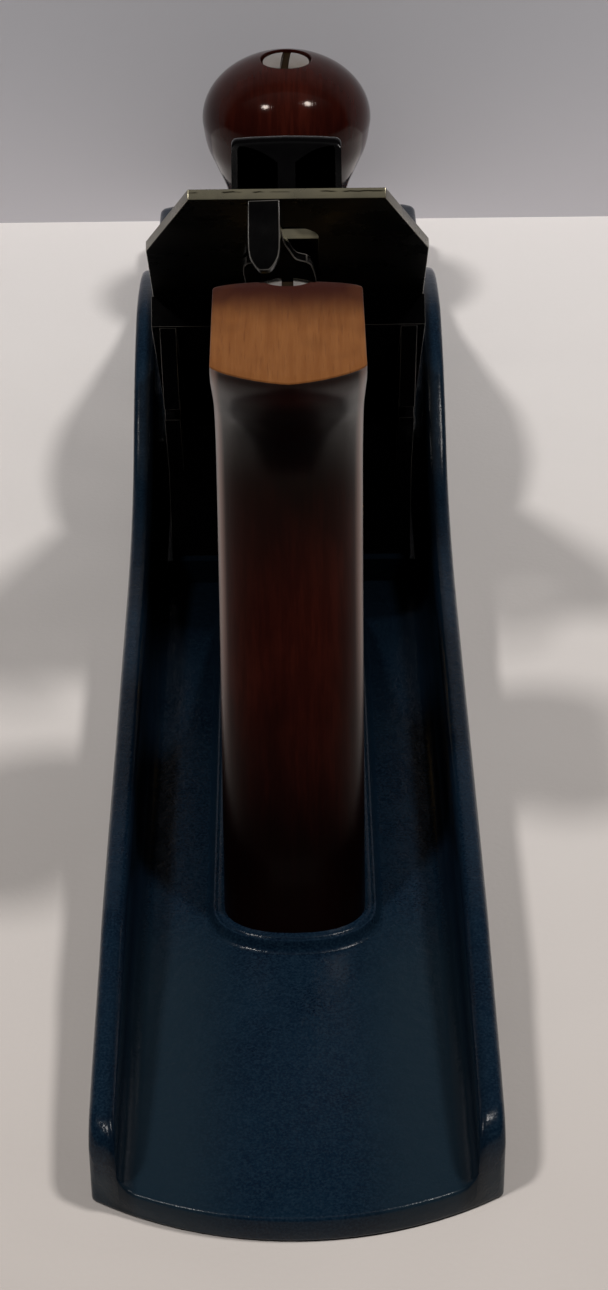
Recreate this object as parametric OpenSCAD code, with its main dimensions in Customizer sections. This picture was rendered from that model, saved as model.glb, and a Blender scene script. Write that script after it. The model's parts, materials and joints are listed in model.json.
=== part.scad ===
// Jack plane: iron casting, bedded cutter with lever cap, screw depth adjuster, wooden handles.
// X runs across the sole, Y forward to the toe, Z up. The origin is on the sole, halfway along.
// All sizes are in millimetres. A distance "up the bed" is measured from the mouth line.

/* [Sole casting] */
// Length of the sole
sole_l = 355.6; // [335:0.1:400]
// Width of the sole
sole_w = 63.5; // [62.6:0.1:70]
// Thickness of the sole plate
floor_t = 4.8; // [4:0.1:5.6]
// Thickness of each side cheek
cheek_t = 4.2; // [3.2:0.1:4.4]
// Depth of the curve that the heel and the toe make in plan
end_bow = 9.4; // [5:0.1:14]
// Height of a cheek where it peaks beside the mouth
cheek_peak_h = 46.5; // [40:0.5:54]
// Height of a cheek beside the rear handle
cheek_tail_h = 20; // [16:0.5:24]
// Height of a cheek at the heel and at the toe
cheek_end_h = 13.6; // [11:0.1:15]
// Radius of the fillet between a cheek and the sole plate
cheek_fillet = 3.2; // [1.5:0.1:4]
// Distance from the mouth line to the toe
mouth_from_toe = 109.1; // [100:0.1:125]
// Length of the mouth along the sole
mouth_gap = 4.6; // [4.2:0.1:6.5]

/* [Cutter] */
// Width of the plane iron and of the cap iron
iron_w = 50.8; // [46:0.1:51.2]
// Thickness of the plane iron
iron_t = 2; // [1.8:0.1:2.6]
// Distance of the plane iron's top end up the bed
iron_top_s = 154.7; // [146:0.1:190]
// Width of the plane iron's top end between its corner cuts
iron_top_w = 33.9; // [26:0.1:44]
// Height of the corner cuts along the bed
iron_corner_s = 25.2; // [12:0.1:34]
// Width of the slot in the plane iron
iron_slot_w = 11.1; // [10.8:0.1:13]
// Thickness of the cap iron
cap_iron_t = 2; // [1.6:0.1:2.4]
// Distance of the cap iron's top end up the bed
cap_iron_top_s = 129.5; // [118:0.1:134]
// Rise of the cap iron's hump above its flat
cap_iron_hump = 3; // [2:0.1:3.4]

/* [Frog] */
// Width of the frog's bed
frog_w = 51.4; // [48:0.1:53]
// Distance of the frog's top end up the bed
frog_top_s = 104.7; // [104:0.1:112]
// Thickness of the frog's bed plate
frog_plate_t = 6; // [5:0.1:7]
// Height of the frog's seat above the sole
frog_seat_z = 10; // [8.5:0.1:11]
// Thickness of the frog's foot
frog_foot_t = 6; // [4.5:0.1:7]

/* [Adjusters] */
// Radius of the depth wheel
wheel_r = 14; // [12:0.1:14.6]
// Thickness of the depth wheel's knurled rim
wheel_rim_t = 9; // [6:0.1:11]
// Number of flutes round the depth wheel
wheel_flutes = 36; // [24:1:48]
// Width of the lateral lever's bent thumb tab
tab_w = 5.4; // [4:0.1:8]
// Length of the lateral lever's bent thumb tab
tab_l = 12.6; // [8:0.1:16]
// Angle at which the lateral lever leans at rest
lateral_lean = 4.1; // [0:0.1:4.4]
// Radius of the lateral lever's roller
roller_r = 4.4; // [3.6:0.1:4.5]

/* [Lever cap] */
// Width of the lever cap at its lower end
lever_cap_w = 49; // [42:0.1:50.5]
// Thickness of the lever cap's plate
lever_cap_t = 3; // [2.4:0.1:4]
// Width of the cam lever
lever_w = 19.6; // [15:0.1:22]
// Length of the cam lever from its pin to its tip
lever_l = 30; // [24:0.1:34]
// Height of the cam lever's tip above the bed
lever_tip_h = 18; // [16:0.1:20]

/* [Rear handle] */
// Thickness of the rear handle
tote_w = 24.2; // [20:0.1:28]
// Height of the rear handle's flat top above the sole
tote_top_z = 109; // [100:0.1:118]
// Distance from the mouth line back to the front end of the rear handle's foot
tote_front = 74.5; // [72:0.1:84]
// Length of the rear handle's foot along the sole
tote_foot_l = 106.5; // [100:0.1:110]
// Angle at which the rear handle's bolt leans forward
tote_lean = 16; // [13:0.5:17]
// Height of the raised seats under the two handles
seat_h = 2.2; // [1.2:0.1:3]

/* [Front knob] */
// Distance from the knob's axis to the toe
knob_from_toe = 48.8; // [40:0.1:54]
// Radius of the knob where it is widest
knob_r = 19.46; // [16:0.1:22]
// Height of the knob's widest ring above the sole
knob_mid_z = 53.9; // [46:0.1:58]
// Height of the knob's dome above its widest ring
knob_dome_h = 14.8; // [12:0.1:18]
// Radius of the knob's waist
knob_waist_r = 12.4; // [10.5:0.1:14]

/* [Fasteners] */
// Radius of the two handle bolts
bolt_r = 3; // [2.5:0.1:3.4]
// Radius of the round nuts' heads on the handle bolts
nut_r = 5.65; // [5:0.05:6.5]
// Radius of the lever cap screw's shank
cap_screw_r = 3.2; // [2.8:0.1:3.5]

/* [Hidden] */
$fn = 64;

// Fits and small shared sizes
run_fit = 0.05;
hole_fit = 0.2;
rub_gap = 0.3;
slip_gap = 0.1;
over = 1;

// Places along the sole
bed_angle = 45;
heel_y = -sole_l / 2;
toe_y = sole_l / 2;
mouth_y = toe_y - mouth_from_toe;
knob_y = toe_y - knob_from_toe;
tote_y = mouth_y - tote_front - tote_foot_l;
end_r = (pow(sole_w / 2, 2) + pow(end_bow, 2)) / (2 * end_bow);
inner_w = sole_w - 2 * cheek_t;
mouth_side = 1.6;
mouth_w = min(iron_w + 2 * mouth_side, inner_w - 0.6);
seat_z = floor_t + seat_h;

// Places up the bed, from the lower end to the top
iron_edge_lift = 0.4;
iron_edge_s = iron_edge_lift / sin(bed_angle) - iron_t;
iron_bevel = 25;
keyhole_s = 31;
keyhole_r = 9;
clamp_s = 50;
clamp_head_r = 8;
clamp_head_t = 3.2;
clamp_thread_r = 4.5;
cap_screw_s = 67;
finger_s = 79.5;
roller_s = 88;
lateral_pivot_s = 100;
cap_screw_bite = 11;
cap_top_h = iron_t + cap_iron_t;

// Yoke pivot and wheel, behind the frog's bed plate
yoke_s = 84;
yoke_h = -16;
yoke_y = bed_y(yoke_s, yoke_h);
yoke_z = bed_z(yoke_s, yoke_h);
yoke_pin_r = 2;
yoke_hub_r = 4;
yoke_hub_w = 16.4;
yoke_ear_t = 4;
yoke_drop = 15;
wheel_z = yoke_z - yoke_drop;
wheel_groove_y = yoke_y - 3;
wheel_groove_w = 5.4;
wheel_groove_r = 6.3;
wheel_flange_r = 8.6;
wheel_flange_t = 1.6;
stud_r = 3.5;
prong_t = 2.6;
prong_w = 3.4;
finger_w = 6;
finger_t = 3.6;

// The frog's rear wall, foot and screws
frog_back = 62.7;
frog_rear_y = mouth_y - frog_back;
frog_wall_t = 8;
frog_web_t = 3;
frog_screw_x = 13.5;
frog_screw_y = frog_rear_y + 26;
frog_wall_h = 30;
frog_web_front = 42;
frog_screw_r = 3;
frog_washer_r = 6;
frog_washer_t = 1.2;
frog_head_r = 5;
frog_head_t = 3.4;
adjust_z = frog_seat_z + 4.4;
adjust_r = 2.5;
adjust_neck_r = 1.9;
clip_t = 2;
clip_w = 11;
clip_screw_z = adjust_z + 8.6;
clip_screw_r = 2;
lug_y0 = frog_rear_y + frog_wall_t + 1.5;
lug_l = 9;

// Lateral lever plate
lateral_t = 1.6;
lateral_h = -rub_gap - lateral_t;
lateral_plate_w = 12.4;
lateral_tail_l = 17;
lateral_neck_l = 34;
lateral_neck_w = 5.8;
lateral_tab_t = 1.8;
lateral_pin_r = 2;
roller_pin_r = 1.6;
roller_t = 1.6;

// Lever cap, cam lever and spring
lever_pin_s = 108;
lever_pin_h = 10;
lever_pin_r = 1.8;
lever_ear_r = 5.4;
lever_ear_t = 3.6;
spring_t = 0.8;
spring_w = 13;
spring_foot_s = 84;
cap_screw_head_r = 7;
cap_screw_head_t = 3;
spring_h = cap_top_h + 0.15;
lever_skirt_t = 1;
cap_under_h = 10.4;
cap_tip_s = 8;
cap_foot_h = cap_top_h + cap_iron_hump + rub_gap;
cap_plate_h = cap_under_h + lever_cap_t;
spring_rivet_s = 91;

// Handle bolts and nuts
nut_barrel_r = 4.2;
nut_barrel_l = 16;
nut_head_t = 2.4;
nut_slot_w = 1.9;
nut_slot_d = 1.1;
// How far the knob's nut stands over the knob's top
nut_proud = 0.95;
// How far the rear handle's nut is seated under the handle's top
nut_seat_drop = 3.8;
tote_bolt_foot = 13.5;
toe_screw_forward = tote_foot_l - 12.5;
toe_screw_r = 2.4;
toe_head_r = 4.4;
toe_head_t = 2.2;
toe_head_deep = 5;
bolt_bite = 5;
nut_cover = 4;
knob_foot_r = 15.4;

// Colours
enamel = [0.035, 0.11, 0.16];
japan = [0.03, 0.03, 0.035];
steel = [0.36, 0.36, 0.35];
nickel = [0.72, 0.70, 0.66];
brass = [0.72, 0.55, 0.25];
wood = [0.25, 0.075, 0.04];

// Height and place of a point of the bed: s up the bed, h out of it
function bed_y(s, h) = mouth_y - s * cos(bed_angle) + h * sin(bed_angle);
function bed_z(s, h) = s * sin(bed_angle) + h * cos(bed_angle);
function on_side(list) = [for (p = list) [bed_y(p[0], p[1]), bed_z(p[0], p[1])]];

// A smooth curve through points of any dimension, with n steps between two points
function blend(a, b, c, d, t) =
    0.5 * (2 * b + (c - a) * t + (2 * a - 5 * b + 4 * c - d) * t * t + (3 * b - a - 3 * c + d) * t * t * t);
function curve(p, n) = concat(
    [for (i = [0:len(p) - 2]) for (k = [0:n - 1])
        blend(p[max(i - 1, 0)], p[i], p[i + 1], p[min(i + 2, len(p) - 1)], k / n)],
    [p[len(p) - 1]]);
function flip(list) = [for (p = list) [-p[0], p[1]]];
function reversed(list) = [for (i = [len(list) - 1:-1:0]) list[i]];

// The rounded end of a handle's level section, from its left side to its right
function power(v, e) = sign(v) * pow(abs(v), e);
function end_cap(half_w, tip_y, depth, squareness, steps) = [for (k = [0:steps])
    let (a = 180 * k / steps)
    [-half_w * power(cos(a), 2 / squareness), tip_y + depth * (1 - power(sin(a), 2 / squareness))]];
// A level section of the rear handle, from its back to its front
// back_d and front_d: how deep each end is rounded; back_sq: how square the back is
function tote_section(back, front, back_d, front_d, grow = 0, back_sq = 2.3) = concat(
    end_cap(tote_w / 2 + grow, back - grow, back_d + grow, back_sq, 12),
    reversed(end_cap(tote_w / 2 + grow, front + grow, -front_d - grow, 2.2, 12)));

// Draws children with x across, y down the bed and z out of it, at a place on the bed
module on_bed(x = 0, s = 0, h = 0) {
    translate([x, bed_y(s, h), bed_z(s, h)]) rotate([-bed_angle, 0, 0]) children();
}

// A side outline given as [y, z] points, as wide as w across the plane
module across(w, x = 0) {
    translate([x - w / 2, 0, 0]) rotate([90, 0, 90]) linear_extrude(w) children();
}

// A rod along X
module cross_rod(r, l) {
    rotate([0, 90, 0]) cylinder(r = r, h = l, center = true);
}

// The space over the sole's outline, with its curved heel and toe
module sole_space(h) {
    translate([-sole_w / 2, heel_y + end_bow, 0]) cube([sole_w, sole_l - 2 * end_bow, h]);
    for (end = [-1, 1]) intersection() {
        translate([0, end * (sole_l / 2 - end_r), 0]) cylinder(r = end_r, h = h, $fn = 200);
        translate([-sole_w / 2, end * (sole_l / 2 - end_bow) - end_bow, 0])
            cube([sole_w, 2 * end_bow, h]);
    }
}

// The cheeks' top edge from the heel corner to the toe corner, as [y, z]
cheek_line = let (h0 = heel_y + end_bow, t0 = toe_y - end_bow) concat(
    [[h0 - over, floor_t]],
    curve([[h0, floor_t + 2], [h0 + 0.9, cheek_end_h - 2.4], [h0 + 4.5, cheek_end_h + 1.6],
           [h0 + 16, cheek_tail_h - 3.5], [h0 + 38, cheek_tail_h - 1.8],
           [mouth_y - 187, cheek_tail_h - 0.6], [mouth_y - 145, cheek_tail_h - 0.3],
           [mouth_y - 96, cheek_tail_h], [mouth_y - 80, cheek_tail_h + 1],
           [mouth_y - 68, cheek_tail_h + 3.4], [mouth_y - 58, cheek_tail_h + 7.3],
           [mouth_y - 45.5, cheek_peak_h - 10.3], [mouth_y - 37, cheek_peak_h - 5.2],
           [mouth_y - 29, cheek_peak_h - 2], [mouth_y - 20.5, cheek_peak_h],
           [mouth_y - 9, cheek_peak_h - 0.9], [mouth_y + 3, cheek_peak_h - 4],
           [mouth_y + 18, cheek_peak_h - 11.5], [mouth_y + 34, cheek_end_h + 14],
           [mouth_y + 52, cheek_end_h + 6.4], [t0 - 24, cheek_end_h + 2.8],
           [t0 - 8, cheek_end_h + 0.8], [t0 - 3, cheek_end_h - 0.4],
           [t0 - 0.8, cheek_end_h - 3], [t0, floor_t + 2]], 3),
    [[t0 + over, floor_t]]);

module cheek_fillets() {
    for (side = [-1, 1]) translate([side * inner_w / 2, 0, floor_t]) mirror([side > 0 ? 1 : 0, 0, 0])
        rotate([90, 0, 0]) linear_extrude(sole_l, center = true) difference() {
            translate([-over, -over]) square(cheek_fillet + over);
            translate([cheek_fillet, cheek_fillet]) circle(cheek_fillet);
        }
}

// The level outline of the rear handle's foot, drawn larger by grow
module foot_outline(grow) {
    s = tote_stations[0];
    polygon(tote_section(tote_y + s[1], tote_y + s[2], s[3], s[4], grow));
}

// The casting's own piece of the bed, behind the mouth, and its seat for the frog
module frog_seat() {
    across(mouth_w) polygon([[frog_rear_y - 2, 0], [mouth_y, 0],
                             [mouth_y - frog_seat_z, frog_seat_z], [frog_rear_y - 2, frog_seat_z]]);
    translate([-5, lug_y0, frog_seat_z - over]) cube([10, lug_l, adjust_z - frog_seat_z + 5.5]);
}

throat_y = mouth_y + mouth_gap;
module sole_casting() color(enamel) difference() {
    union() {
        intersection() {
            sole_space(2 * cheek_peak_h);
            union() {
                translate([0, 0, floor_t / 2]) cube([2 * sole_w, 2 * sole_l, floor_t], center = true);
                for (side = [-1, 1]) across(cheek_t + over, side * (inner_w + cheek_t + over) / 2)
                    polygon(concat([[heel_y - over, 0], [heel_y - over, floor_t]], cheek_line,
                                   [[toe_y + over, floor_t], [toe_y + over, 0]]));
                intersection() {
                    cheek_fillets();
                    translate([0, 0, floor_t + cheek_fillet / 2])
                        cube([sole_w, sole_l - 2 * end_bow - 4, 2 * cheek_fillet], center = true);
                }
            }
        }
        frog_seat();
        across(mouth_w + 0.4) polygon([[throat_y, 0], [throat_y, floor_t + 3.4],
            [throat_y + 11, floor_t + 3.4], [throat_y + 15, floor_t], [throat_y + 15, 0]]);
        for (step = [[3.1, 0.36], [2.3, 0.7], [1.5, 1]])
            translate([0, 0, floor_t - over]) linear_extrude(over + seat_h * step[1])
                foot_outline(step[0]);
        translate([0, knob_y, floor_t - over]) {
            cylinder(r1 = knob_foot_r + 3.6, r2 = knob_foot_r + 1.2, h = over + seat_h);
        }
    }
    // The mouth, open along the bed behind and sloped ahead
    across(mouth_w) polygon([[mouth_y + over, -over], [throat_y, -over], [throat_y, 1.4],
                             [throat_y + 7, floor_t + 3.6], [mouth_y - floor_t - 3.6, floor_t + 3.6]]);
    for (side = [-1, 1]) translate([side * frog_screw_x, frog_screw_y, 1.6])
        cylinder(r = frog_screw_r, h = frog_seat_z);
    translate([0, lug_y0 - over, adjust_z]) rotate([-90, 0, 0]) cylinder(r = adjust_r, h = lug_l + 2 * over);
    translate([0, knob_y, seat_z - bolt_bite - 0.6]) cylinder(r = bolt_r, h = 3 * seat_z);
    tote_axis(tote_foot_z) translate([0, 0, -bolt_bite - 0.6]) cylinder(r = bolt_r, h = 3 * seat_z);
    translate([0, tote_y + toe_screw_forward, seat_z - bolt_bite - 0.6])
        cylinder(r = toe_screw_r, h = 3 * seat_z);
}

// The frog: its bed plate, two webs, a foot, a rear wall and ears for the yoke
module frog() color(japan) difference() {
    union() {
        on_bed() translate([-frog_w / 2, -frog_top_s, -frog_plate_t])
            cube([frog_w, frog_top_s - 10, frog_plate_t]);
        for (side = [-1, 1]) across(frog_web_t, side * (frog_w / 2 - 3)) polygon(concat(
            on_side([[24, -3], [96, -3], [frog_top_s - 1, -frog_plate_t]]),
            [[frog_rear_y - 9, frog_seat_z + 1.2 * frog_wall_h], [frog_rear_y, frog_wall_h],
             [frog_rear_y, frog_seat_z], [frog_rear_y + frog_web_front, frog_seat_z]]));
        translate([-(frog_w / 2 - 2), frog_rear_y, frog_seat_z])
            cube([frog_w - 4, mouth_y - frog_seat_z - frog_foot_t - 1 - frog_rear_y, frog_foot_t]);
        translate([-(frog_w / 2 - 2), frog_rear_y, frog_seat_z]) cube([frog_w - 4, frog_wall_t, frog_wall_h]);
        // A boss behind the bed for the lever cap screw
        on_bed(0, cap_screw_s, -16) cylinder(r = 6, h = 16 - frog_plate_t / 2);
        for (side = [-1, 1]) across(yoke_ear_t, side * (yoke_hub_w + yoke_ear_t + 0.6) / 2) polygon(
            concat(on_side([[yoke_s - 14, -3], [yoke_s + 9, -3], [yoke_s + 4.4, yoke_h + 1.6]]),
                   on_side([[yoke_s - 1, yoke_h - 4.4], [yoke_s - 14, yoke_h + 3]])));
        for (side = [-1, 1]) translate([side * (yoke_hub_w + yoke_ear_t + 0.6) / 2, yoke_y, yoke_z])
            cross_rod(4.8, yoke_ear_t);
    }
    // Everything below the seat, and the plate's lower end
    translate([-frog_w, -sole_w, -over]) cube([2 * frog_w, 3 * sole_w, frog_seat_z + over]);
    // The hollow for the cutter clamp's head
    on_bed(0, clamp_s) translate([-clamp_head_r - 1.5, -clamp_head_r - 2.4, -clamp_head_t - 1])
        cube([2 * clamp_head_r + 3, 2 * clamp_head_r + 4.8, clamp_head_t + 2]);
    // The slot that the yoke's finger comes through
    on_bed(0, finger_s) translate([-finger_w / 2 - 0.8, -7, -frog_plate_t - over])
        cube([finger_w + 1.6, 12, frog_plate_t + 2 * over]);
    // The shallow recess under the lateral lever
    on_bed(0, lateral_pivot_s) translate([0, 0, lateral_h - slip_gap]) linear_extrude(3)
        polygon([[-8.6, 18.2], [8.6, 18.2], [10.2, 0], [10.2, -12], [-10.2, -12], [-10.2, 0]]);
    on_bed(0, cap_screw_s, -cap_screw_bite - 0.6) cylinder(r = cap_screw_r, h = 2 * cap_screw_bite);
    on_bed(0, lateral_pivot_s, -frog_plate_t - over) cylinder(r = lateral_pin_r, h = frog_plate_t + 2);
    translate([0, yoke_y, yoke_z]) cross_rod(yoke_pin_r, frog_w);
    translate([0, frog_rear_y - over, wheel_z]) rotate([-90, 0, 0]) cylinder(r = stud_r, h = frog_wall_t + 2);
    translate([0, frog_rear_y - over, adjust_z]) rotate([-90, 0, 0])
        cylinder(r = adjust_r + hole_fit, h = frog_wall_t + 2);
    translate([0, frog_rear_y - over, clip_screw_z]) rotate([-90, 0, 0])
        cylinder(r = clip_screw_r, h = 6 + over);
    // The gap in the foot round the casting's lug
    translate([-6, frog_rear_y + frog_wall_t, frog_seat_z - over])
        cube([12, lug_l + 4, frog_foot_t + 6]);
    for (side = [-1, 1]) translate([side * frog_screw_x, frog_screw_y, 0]) {
        cylinder(r = frog_screw_r + 0.4, h = frog_seat_z + frog_foot_t + over);
        translate([0, 0, frog_seat_z + frog_foot_t]) cylinder(r = frog_washer_r + 0.8, h = 60);
    }
}

module frog_screws() color(steel) for (side = [-1, 1])
    translate([side * frog_screw_x, frog_screw_y, 2.4]) {
        top = frog_seat_z + frog_foot_t + frog_washer_t - 2.4;
        difference() {
            union() {
                cylinder(r = frog_screw_r, h = top + over);
                translate([0, 0, top]) cylinder(r = frog_head_r, h = frog_head_t);
            }
            translate([-frog_head_r, -0.7, top + frog_head_t - 1.3]) cube([2 * frog_head_r, 1.4, 2]);
        }
    }

module frog_washers() color(steel) for (side = [-1, 1])
    translate([side * frog_screw_x, frog_screw_y, frog_seat_z + frog_foot_t]) difference() {
        cylinder(r = frog_washer_r, h = frog_washer_t);
        translate([0, 0, -over]) cylinder(r = frog_screw_r + hole_fit, h = frog_washer_t + 2);
    }

clip_y = frog_rear_y - clip_t;
module frog_adjusting_screw() color(steel) translate([0, clip_y, adjust_z]) rotate([-90, 0, 0]) difference() {
    union() {
        translate([0, 0, -4]) cylinder(r = 4, h = 4 - slip_gap);
        translate([0, 0, -1]) cylinder(r = adjust_neck_r, h = clip_t + 1.6);
        translate([0, 0, clip_t + slip_gap]) cylinder(r = adjust_r, h = lug_y0 + lug_l - clip_y - clip_t);
    }
    translate([-4, -0.6, -5]) cube([8, 1.2, 2.2]);
}

module frog_adjusting_clip() color(steel) difference() {
    translate([-clip_w / 2, clip_y, adjust_z - 3]) cube([clip_w, clip_t, clip_screw_z - adjust_z + 7]);
    translate([0, clip_y - over, adjust_z]) rotate([-90, 0, 0])
        cylinder(r = adjust_neck_r + slip_gap, h = clip_t + 2);
    translate([-adjust_neck_r - slip_gap, clip_y - over, adjust_z - 4])
        cube([2 * (adjust_neck_r + slip_gap), clip_t + 2, 4]);
    translate([0, clip_y - over, clip_screw_z]) rotate([-90, 0, 0])
        cylinder(r = clip_screw_r + hole_fit, h = clip_t + 2);
}

module frog_clip_screw() color(steel) translate([0, clip_y, clip_screw_z]) rotate([-90, 0, 0]) difference() {
    union() {
        translate([0, 0, -2]) cylinder(r = 3.4, h = 2);
        translate([0, 0, -1]) cylinder(r = clip_screw_r, h = clip_t + 6);
    }
    translate([-4, -0.5, -3]) cube([8, 1, 2]);
}

stud_back_y = wheel_groove_y - wheel_groove_w / 2 - wheel_rim_t - 3.5;
module depth_stud() color(steel) translate([0, stud_back_y, wheel_z]) rotate([-90, 0, 0]) {
    cylinder(r1 = stud_r - 0.8, r2 = stud_r, h = 0.8);
    translate([0, 0, 0.8]) cylinder(r = stud_r, h = frog_rear_y + frog_wall_t - stud_back_y - 0.8);
}

// The depth wheel: a fluted rim behind, a groove for the fork and a thin flange in front
module depth_wheel() color(brass) translate([0, wheel_groove_y, wheel_z]) rotate([-90, 0, 0]) difference() {
    groove_half = wheel_groove_w / 2;
    rotate_extrude() polygon([[stud_r + run_fit, -groove_half - wheel_rim_t - 1.2],
        [wheel_groove_r, -groove_half - wheel_rim_t - 1.2], [wheel_groove_r + 1.2, -groove_half - wheel_rim_t],
        [wheel_r - 1, -groove_half - wheel_rim_t], [wheel_r, -groove_half - wheel_rim_t + 1],
        [wheel_r, -groove_half - 1], [wheel_r - 1, -groove_half], [wheel_groove_r, -groove_half],
        [wheel_groove_r, groove_half], [wheel_flange_r, groove_half],
        [wheel_flange_r, groove_half + wheel_flange_t], [stud_r + run_fit, groove_half + wheel_flange_t]]);
    for (k = [1:wheel_flutes]) rotate([0, 0, 360 * k / wheel_flutes])
        translate([wheel_r + 0.25, 0, -groove_half - wheel_rim_t - over])
            cylinder(r = 0.75, h = wheel_rim_t + over - groove_half / 4, $fn = 16);
}

// The yoke: a hub on its pin, a finger up to the cap iron and a fork down to the wheel
module depth_yoke() color(japan) difference() {
    union() {
        translate([0, yoke_y, yoke_z]) cross_rod(yoke_hub_r, yoke_hub_w);
        across(finger_w) polygon(on_side([[yoke_s - 3.6, yoke_h + 0.6], [yoke_s + 3.4, yoke_h + 1.6],
            [finger_s + finger_t / 2, -2], [finger_s + finger_t / 2, cap_top_h - 0.2],
            [finger_s - finger_t / 2, cap_top_h - 0.2], [finger_s - finger_t / 2, -2]]));
        fork_y = wheel_groove_y;
        across(yoke_hub_w) polygon([[yoke_y - 3.6, yoke_z], [yoke_y + 2.4, yoke_z - 1],
            [fork_y + prong_t / 2, yoke_z - 6], [fork_y - prong_t / 2, yoke_z - 6],
            [fork_y - prong_t / 2, yoke_z - 4]]);
        for (side = [-1, 1]) {
            translate([side * (wheel_groove_r + 0.5 + prong_w / 2) - prong_w / 2, fork_y - prong_t / 2,
                       wheel_z - 2.1]) cube([prong_w, prong_t, yoke_drop - 3]);
            translate([side * (wheel_groove_r + 0.5 + prong_w / 2), fork_y, wheel_z - 2.1])
                rotate([90, 0, 0]) cylinder(r = prong_w / 2, h = prong_t, center = true);
        }
    }
    translate([0, yoke_y, yoke_z]) cross_rod(yoke_pin_r + run_fit, 2 * yoke_hub_w);
}

module yoke_pin() color(steel) translate([0, yoke_y, yoke_z])
    cross_rod(yoke_pin_r, yoke_hub_w + 2 * yoke_ear_t + 2);

// The lateral lever's outline, up the bed from its pivot, for its right half
lateral_half = let (r = lateral_plate_w / 2, tail = lateral_tail_l, neck = lateral_neck_l,
                    n = lateral_neck_w / 2, top = iron_top_s - lateral_pivot_s) concat(
    [[0, -tail]], [[0.58 * r, -0.965 * tail], [0.9 * r, -0.8 * tail]],
    curve([[0.935 * r, -0.588 * tail], [r, 0], [1.065 * r, 0.412 * neck], [r, 0.77 * neck],
        [0.613 * r, 0.859 * neck], [n, neck], [0.759 * n, neck + 6], [0.793 * n, top - 1.1]], 3));

// The lateral lever, turned to its lean about its pivot
module lateral_lever() color(japan) on_bed(0, lateral_pivot_s) rotate([0, 0, -lateral_lean]) {
    difference() {
        translate([0, 0, lateral_h]) mirror([0, 1, 0]) linear_extrude(lateral_t)
            polygon(concat(lateral_half, reversed(flip(lateral_half))));
        translate([0, 0, -5]) cylinder(r = lateral_pin_r + run_fit, h = 8);
        translate([0, lateral_pivot_s - roller_s, -5]) cylinder(r = roller_pin_r, h = 8);
    }
    tab_s = iron_top_s - lateral_pivot_s + 0.7 - lateral_tab_t;
    translate([0, -tab_s, lateral_h + lateral_t]) rotate([90, 0, 0]) mirror([0, 1, 0]) linear_extrude(lateral_tab_t)
        polygon(concat([[tab_w / 2, 0]],
            curve([[tab_w / 2, 1], [tab_w / 2, tab_l * 0.7], [tab_w / 2 - 0.9, tab_l - 1.1], [0.8, tab_l]], 3),
            reversed(flip(curve([[tab_w / 2, 1], [tab_w / 2, tab_l * 0.7], [tab_w / 2 - 0.9, tab_l - 1.1],
                                 [0.8, tab_l]], 3))), [[-tab_w / 2, 0]]));
}

module lateral_pivot_pin() color(steel) on_bed(0, lateral_pivot_s) {
    translate([0, 0, -frog_plate_t]) cylinder(r = lateral_pin_r, h = frog_plate_t - 0.2);
    translate([0, 0, lateral_h + lateral_t + 0.02]) cylinder(r = 3.2, h = 0.22);
}

// Places children on the lateral lever's roller pin, which leans with the lever
module on_roller() {
    on_bed(0, lateral_pivot_s) rotate([0, 0, -lateral_lean])
        translate([0, lateral_pivot_s - roller_s, 0]) children();
}

module lateral_roller_pin() color(steel) on_roller() {
    translate([0, 0, lateral_h]) cylinder(r = roller_pin_r, h = iron_t - 0.3 - lateral_h);
    translate([0, 0, iron_t - 0.55]) cylinder(r = 2.6, h = 0.4);
}

module lateral_roller() color(nickel) on_roller() translate([0, 0, -0.2]) difference() {
    cylinder(r = roller_r, h = roller_t);
    translate([0, 0, -over]) cylinder(r = roller_pin_r + run_fit, h = roller_t + 2);
}

// The plane iron, with its bevel below, corner cuts above and a keyhole slot
module plane_iron() color(steel) difference() {
    on_bed() mirror([0, 1, 0]) linear_extrude(iron_t) polygon([[-iron_w / 2, iron_edge_s],
        [iron_w / 2, iron_edge_s], [iron_w / 2, iron_top_s - iron_corner_s],
        [iron_top_w / 2, iron_top_s], [-iron_top_w / 2, iron_top_s],
        [-iron_w / 2, iron_top_s - iron_corner_s]]);
    across(iron_w + 2) polygon(on_side([[iron_edge_s, iron_t], [iron_edge_s - 3, iron_t],
        [iron_edge_s - 3, -over], [iron_edge_s + (iron_t + over) / tan(iron_bevel), -over]]));
    on_bed(0, keyhole_s, -over) cylinder(r = keyhole_r, h = iron_t + 2);
    slot_top_s = iron_top_s - 13.7 - iron_slot_w / 2;
    on_bed(0, slot_top_s, -over) {
        cylinder(r = iron_slot_w / 2, h = iron_t + 2);
        translate([-iron_slot_w / 2, 0, 0]) cube([iron_slot_w, slot_top_s - keyhole_s, iron_t + 2]);
    }
}

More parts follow.
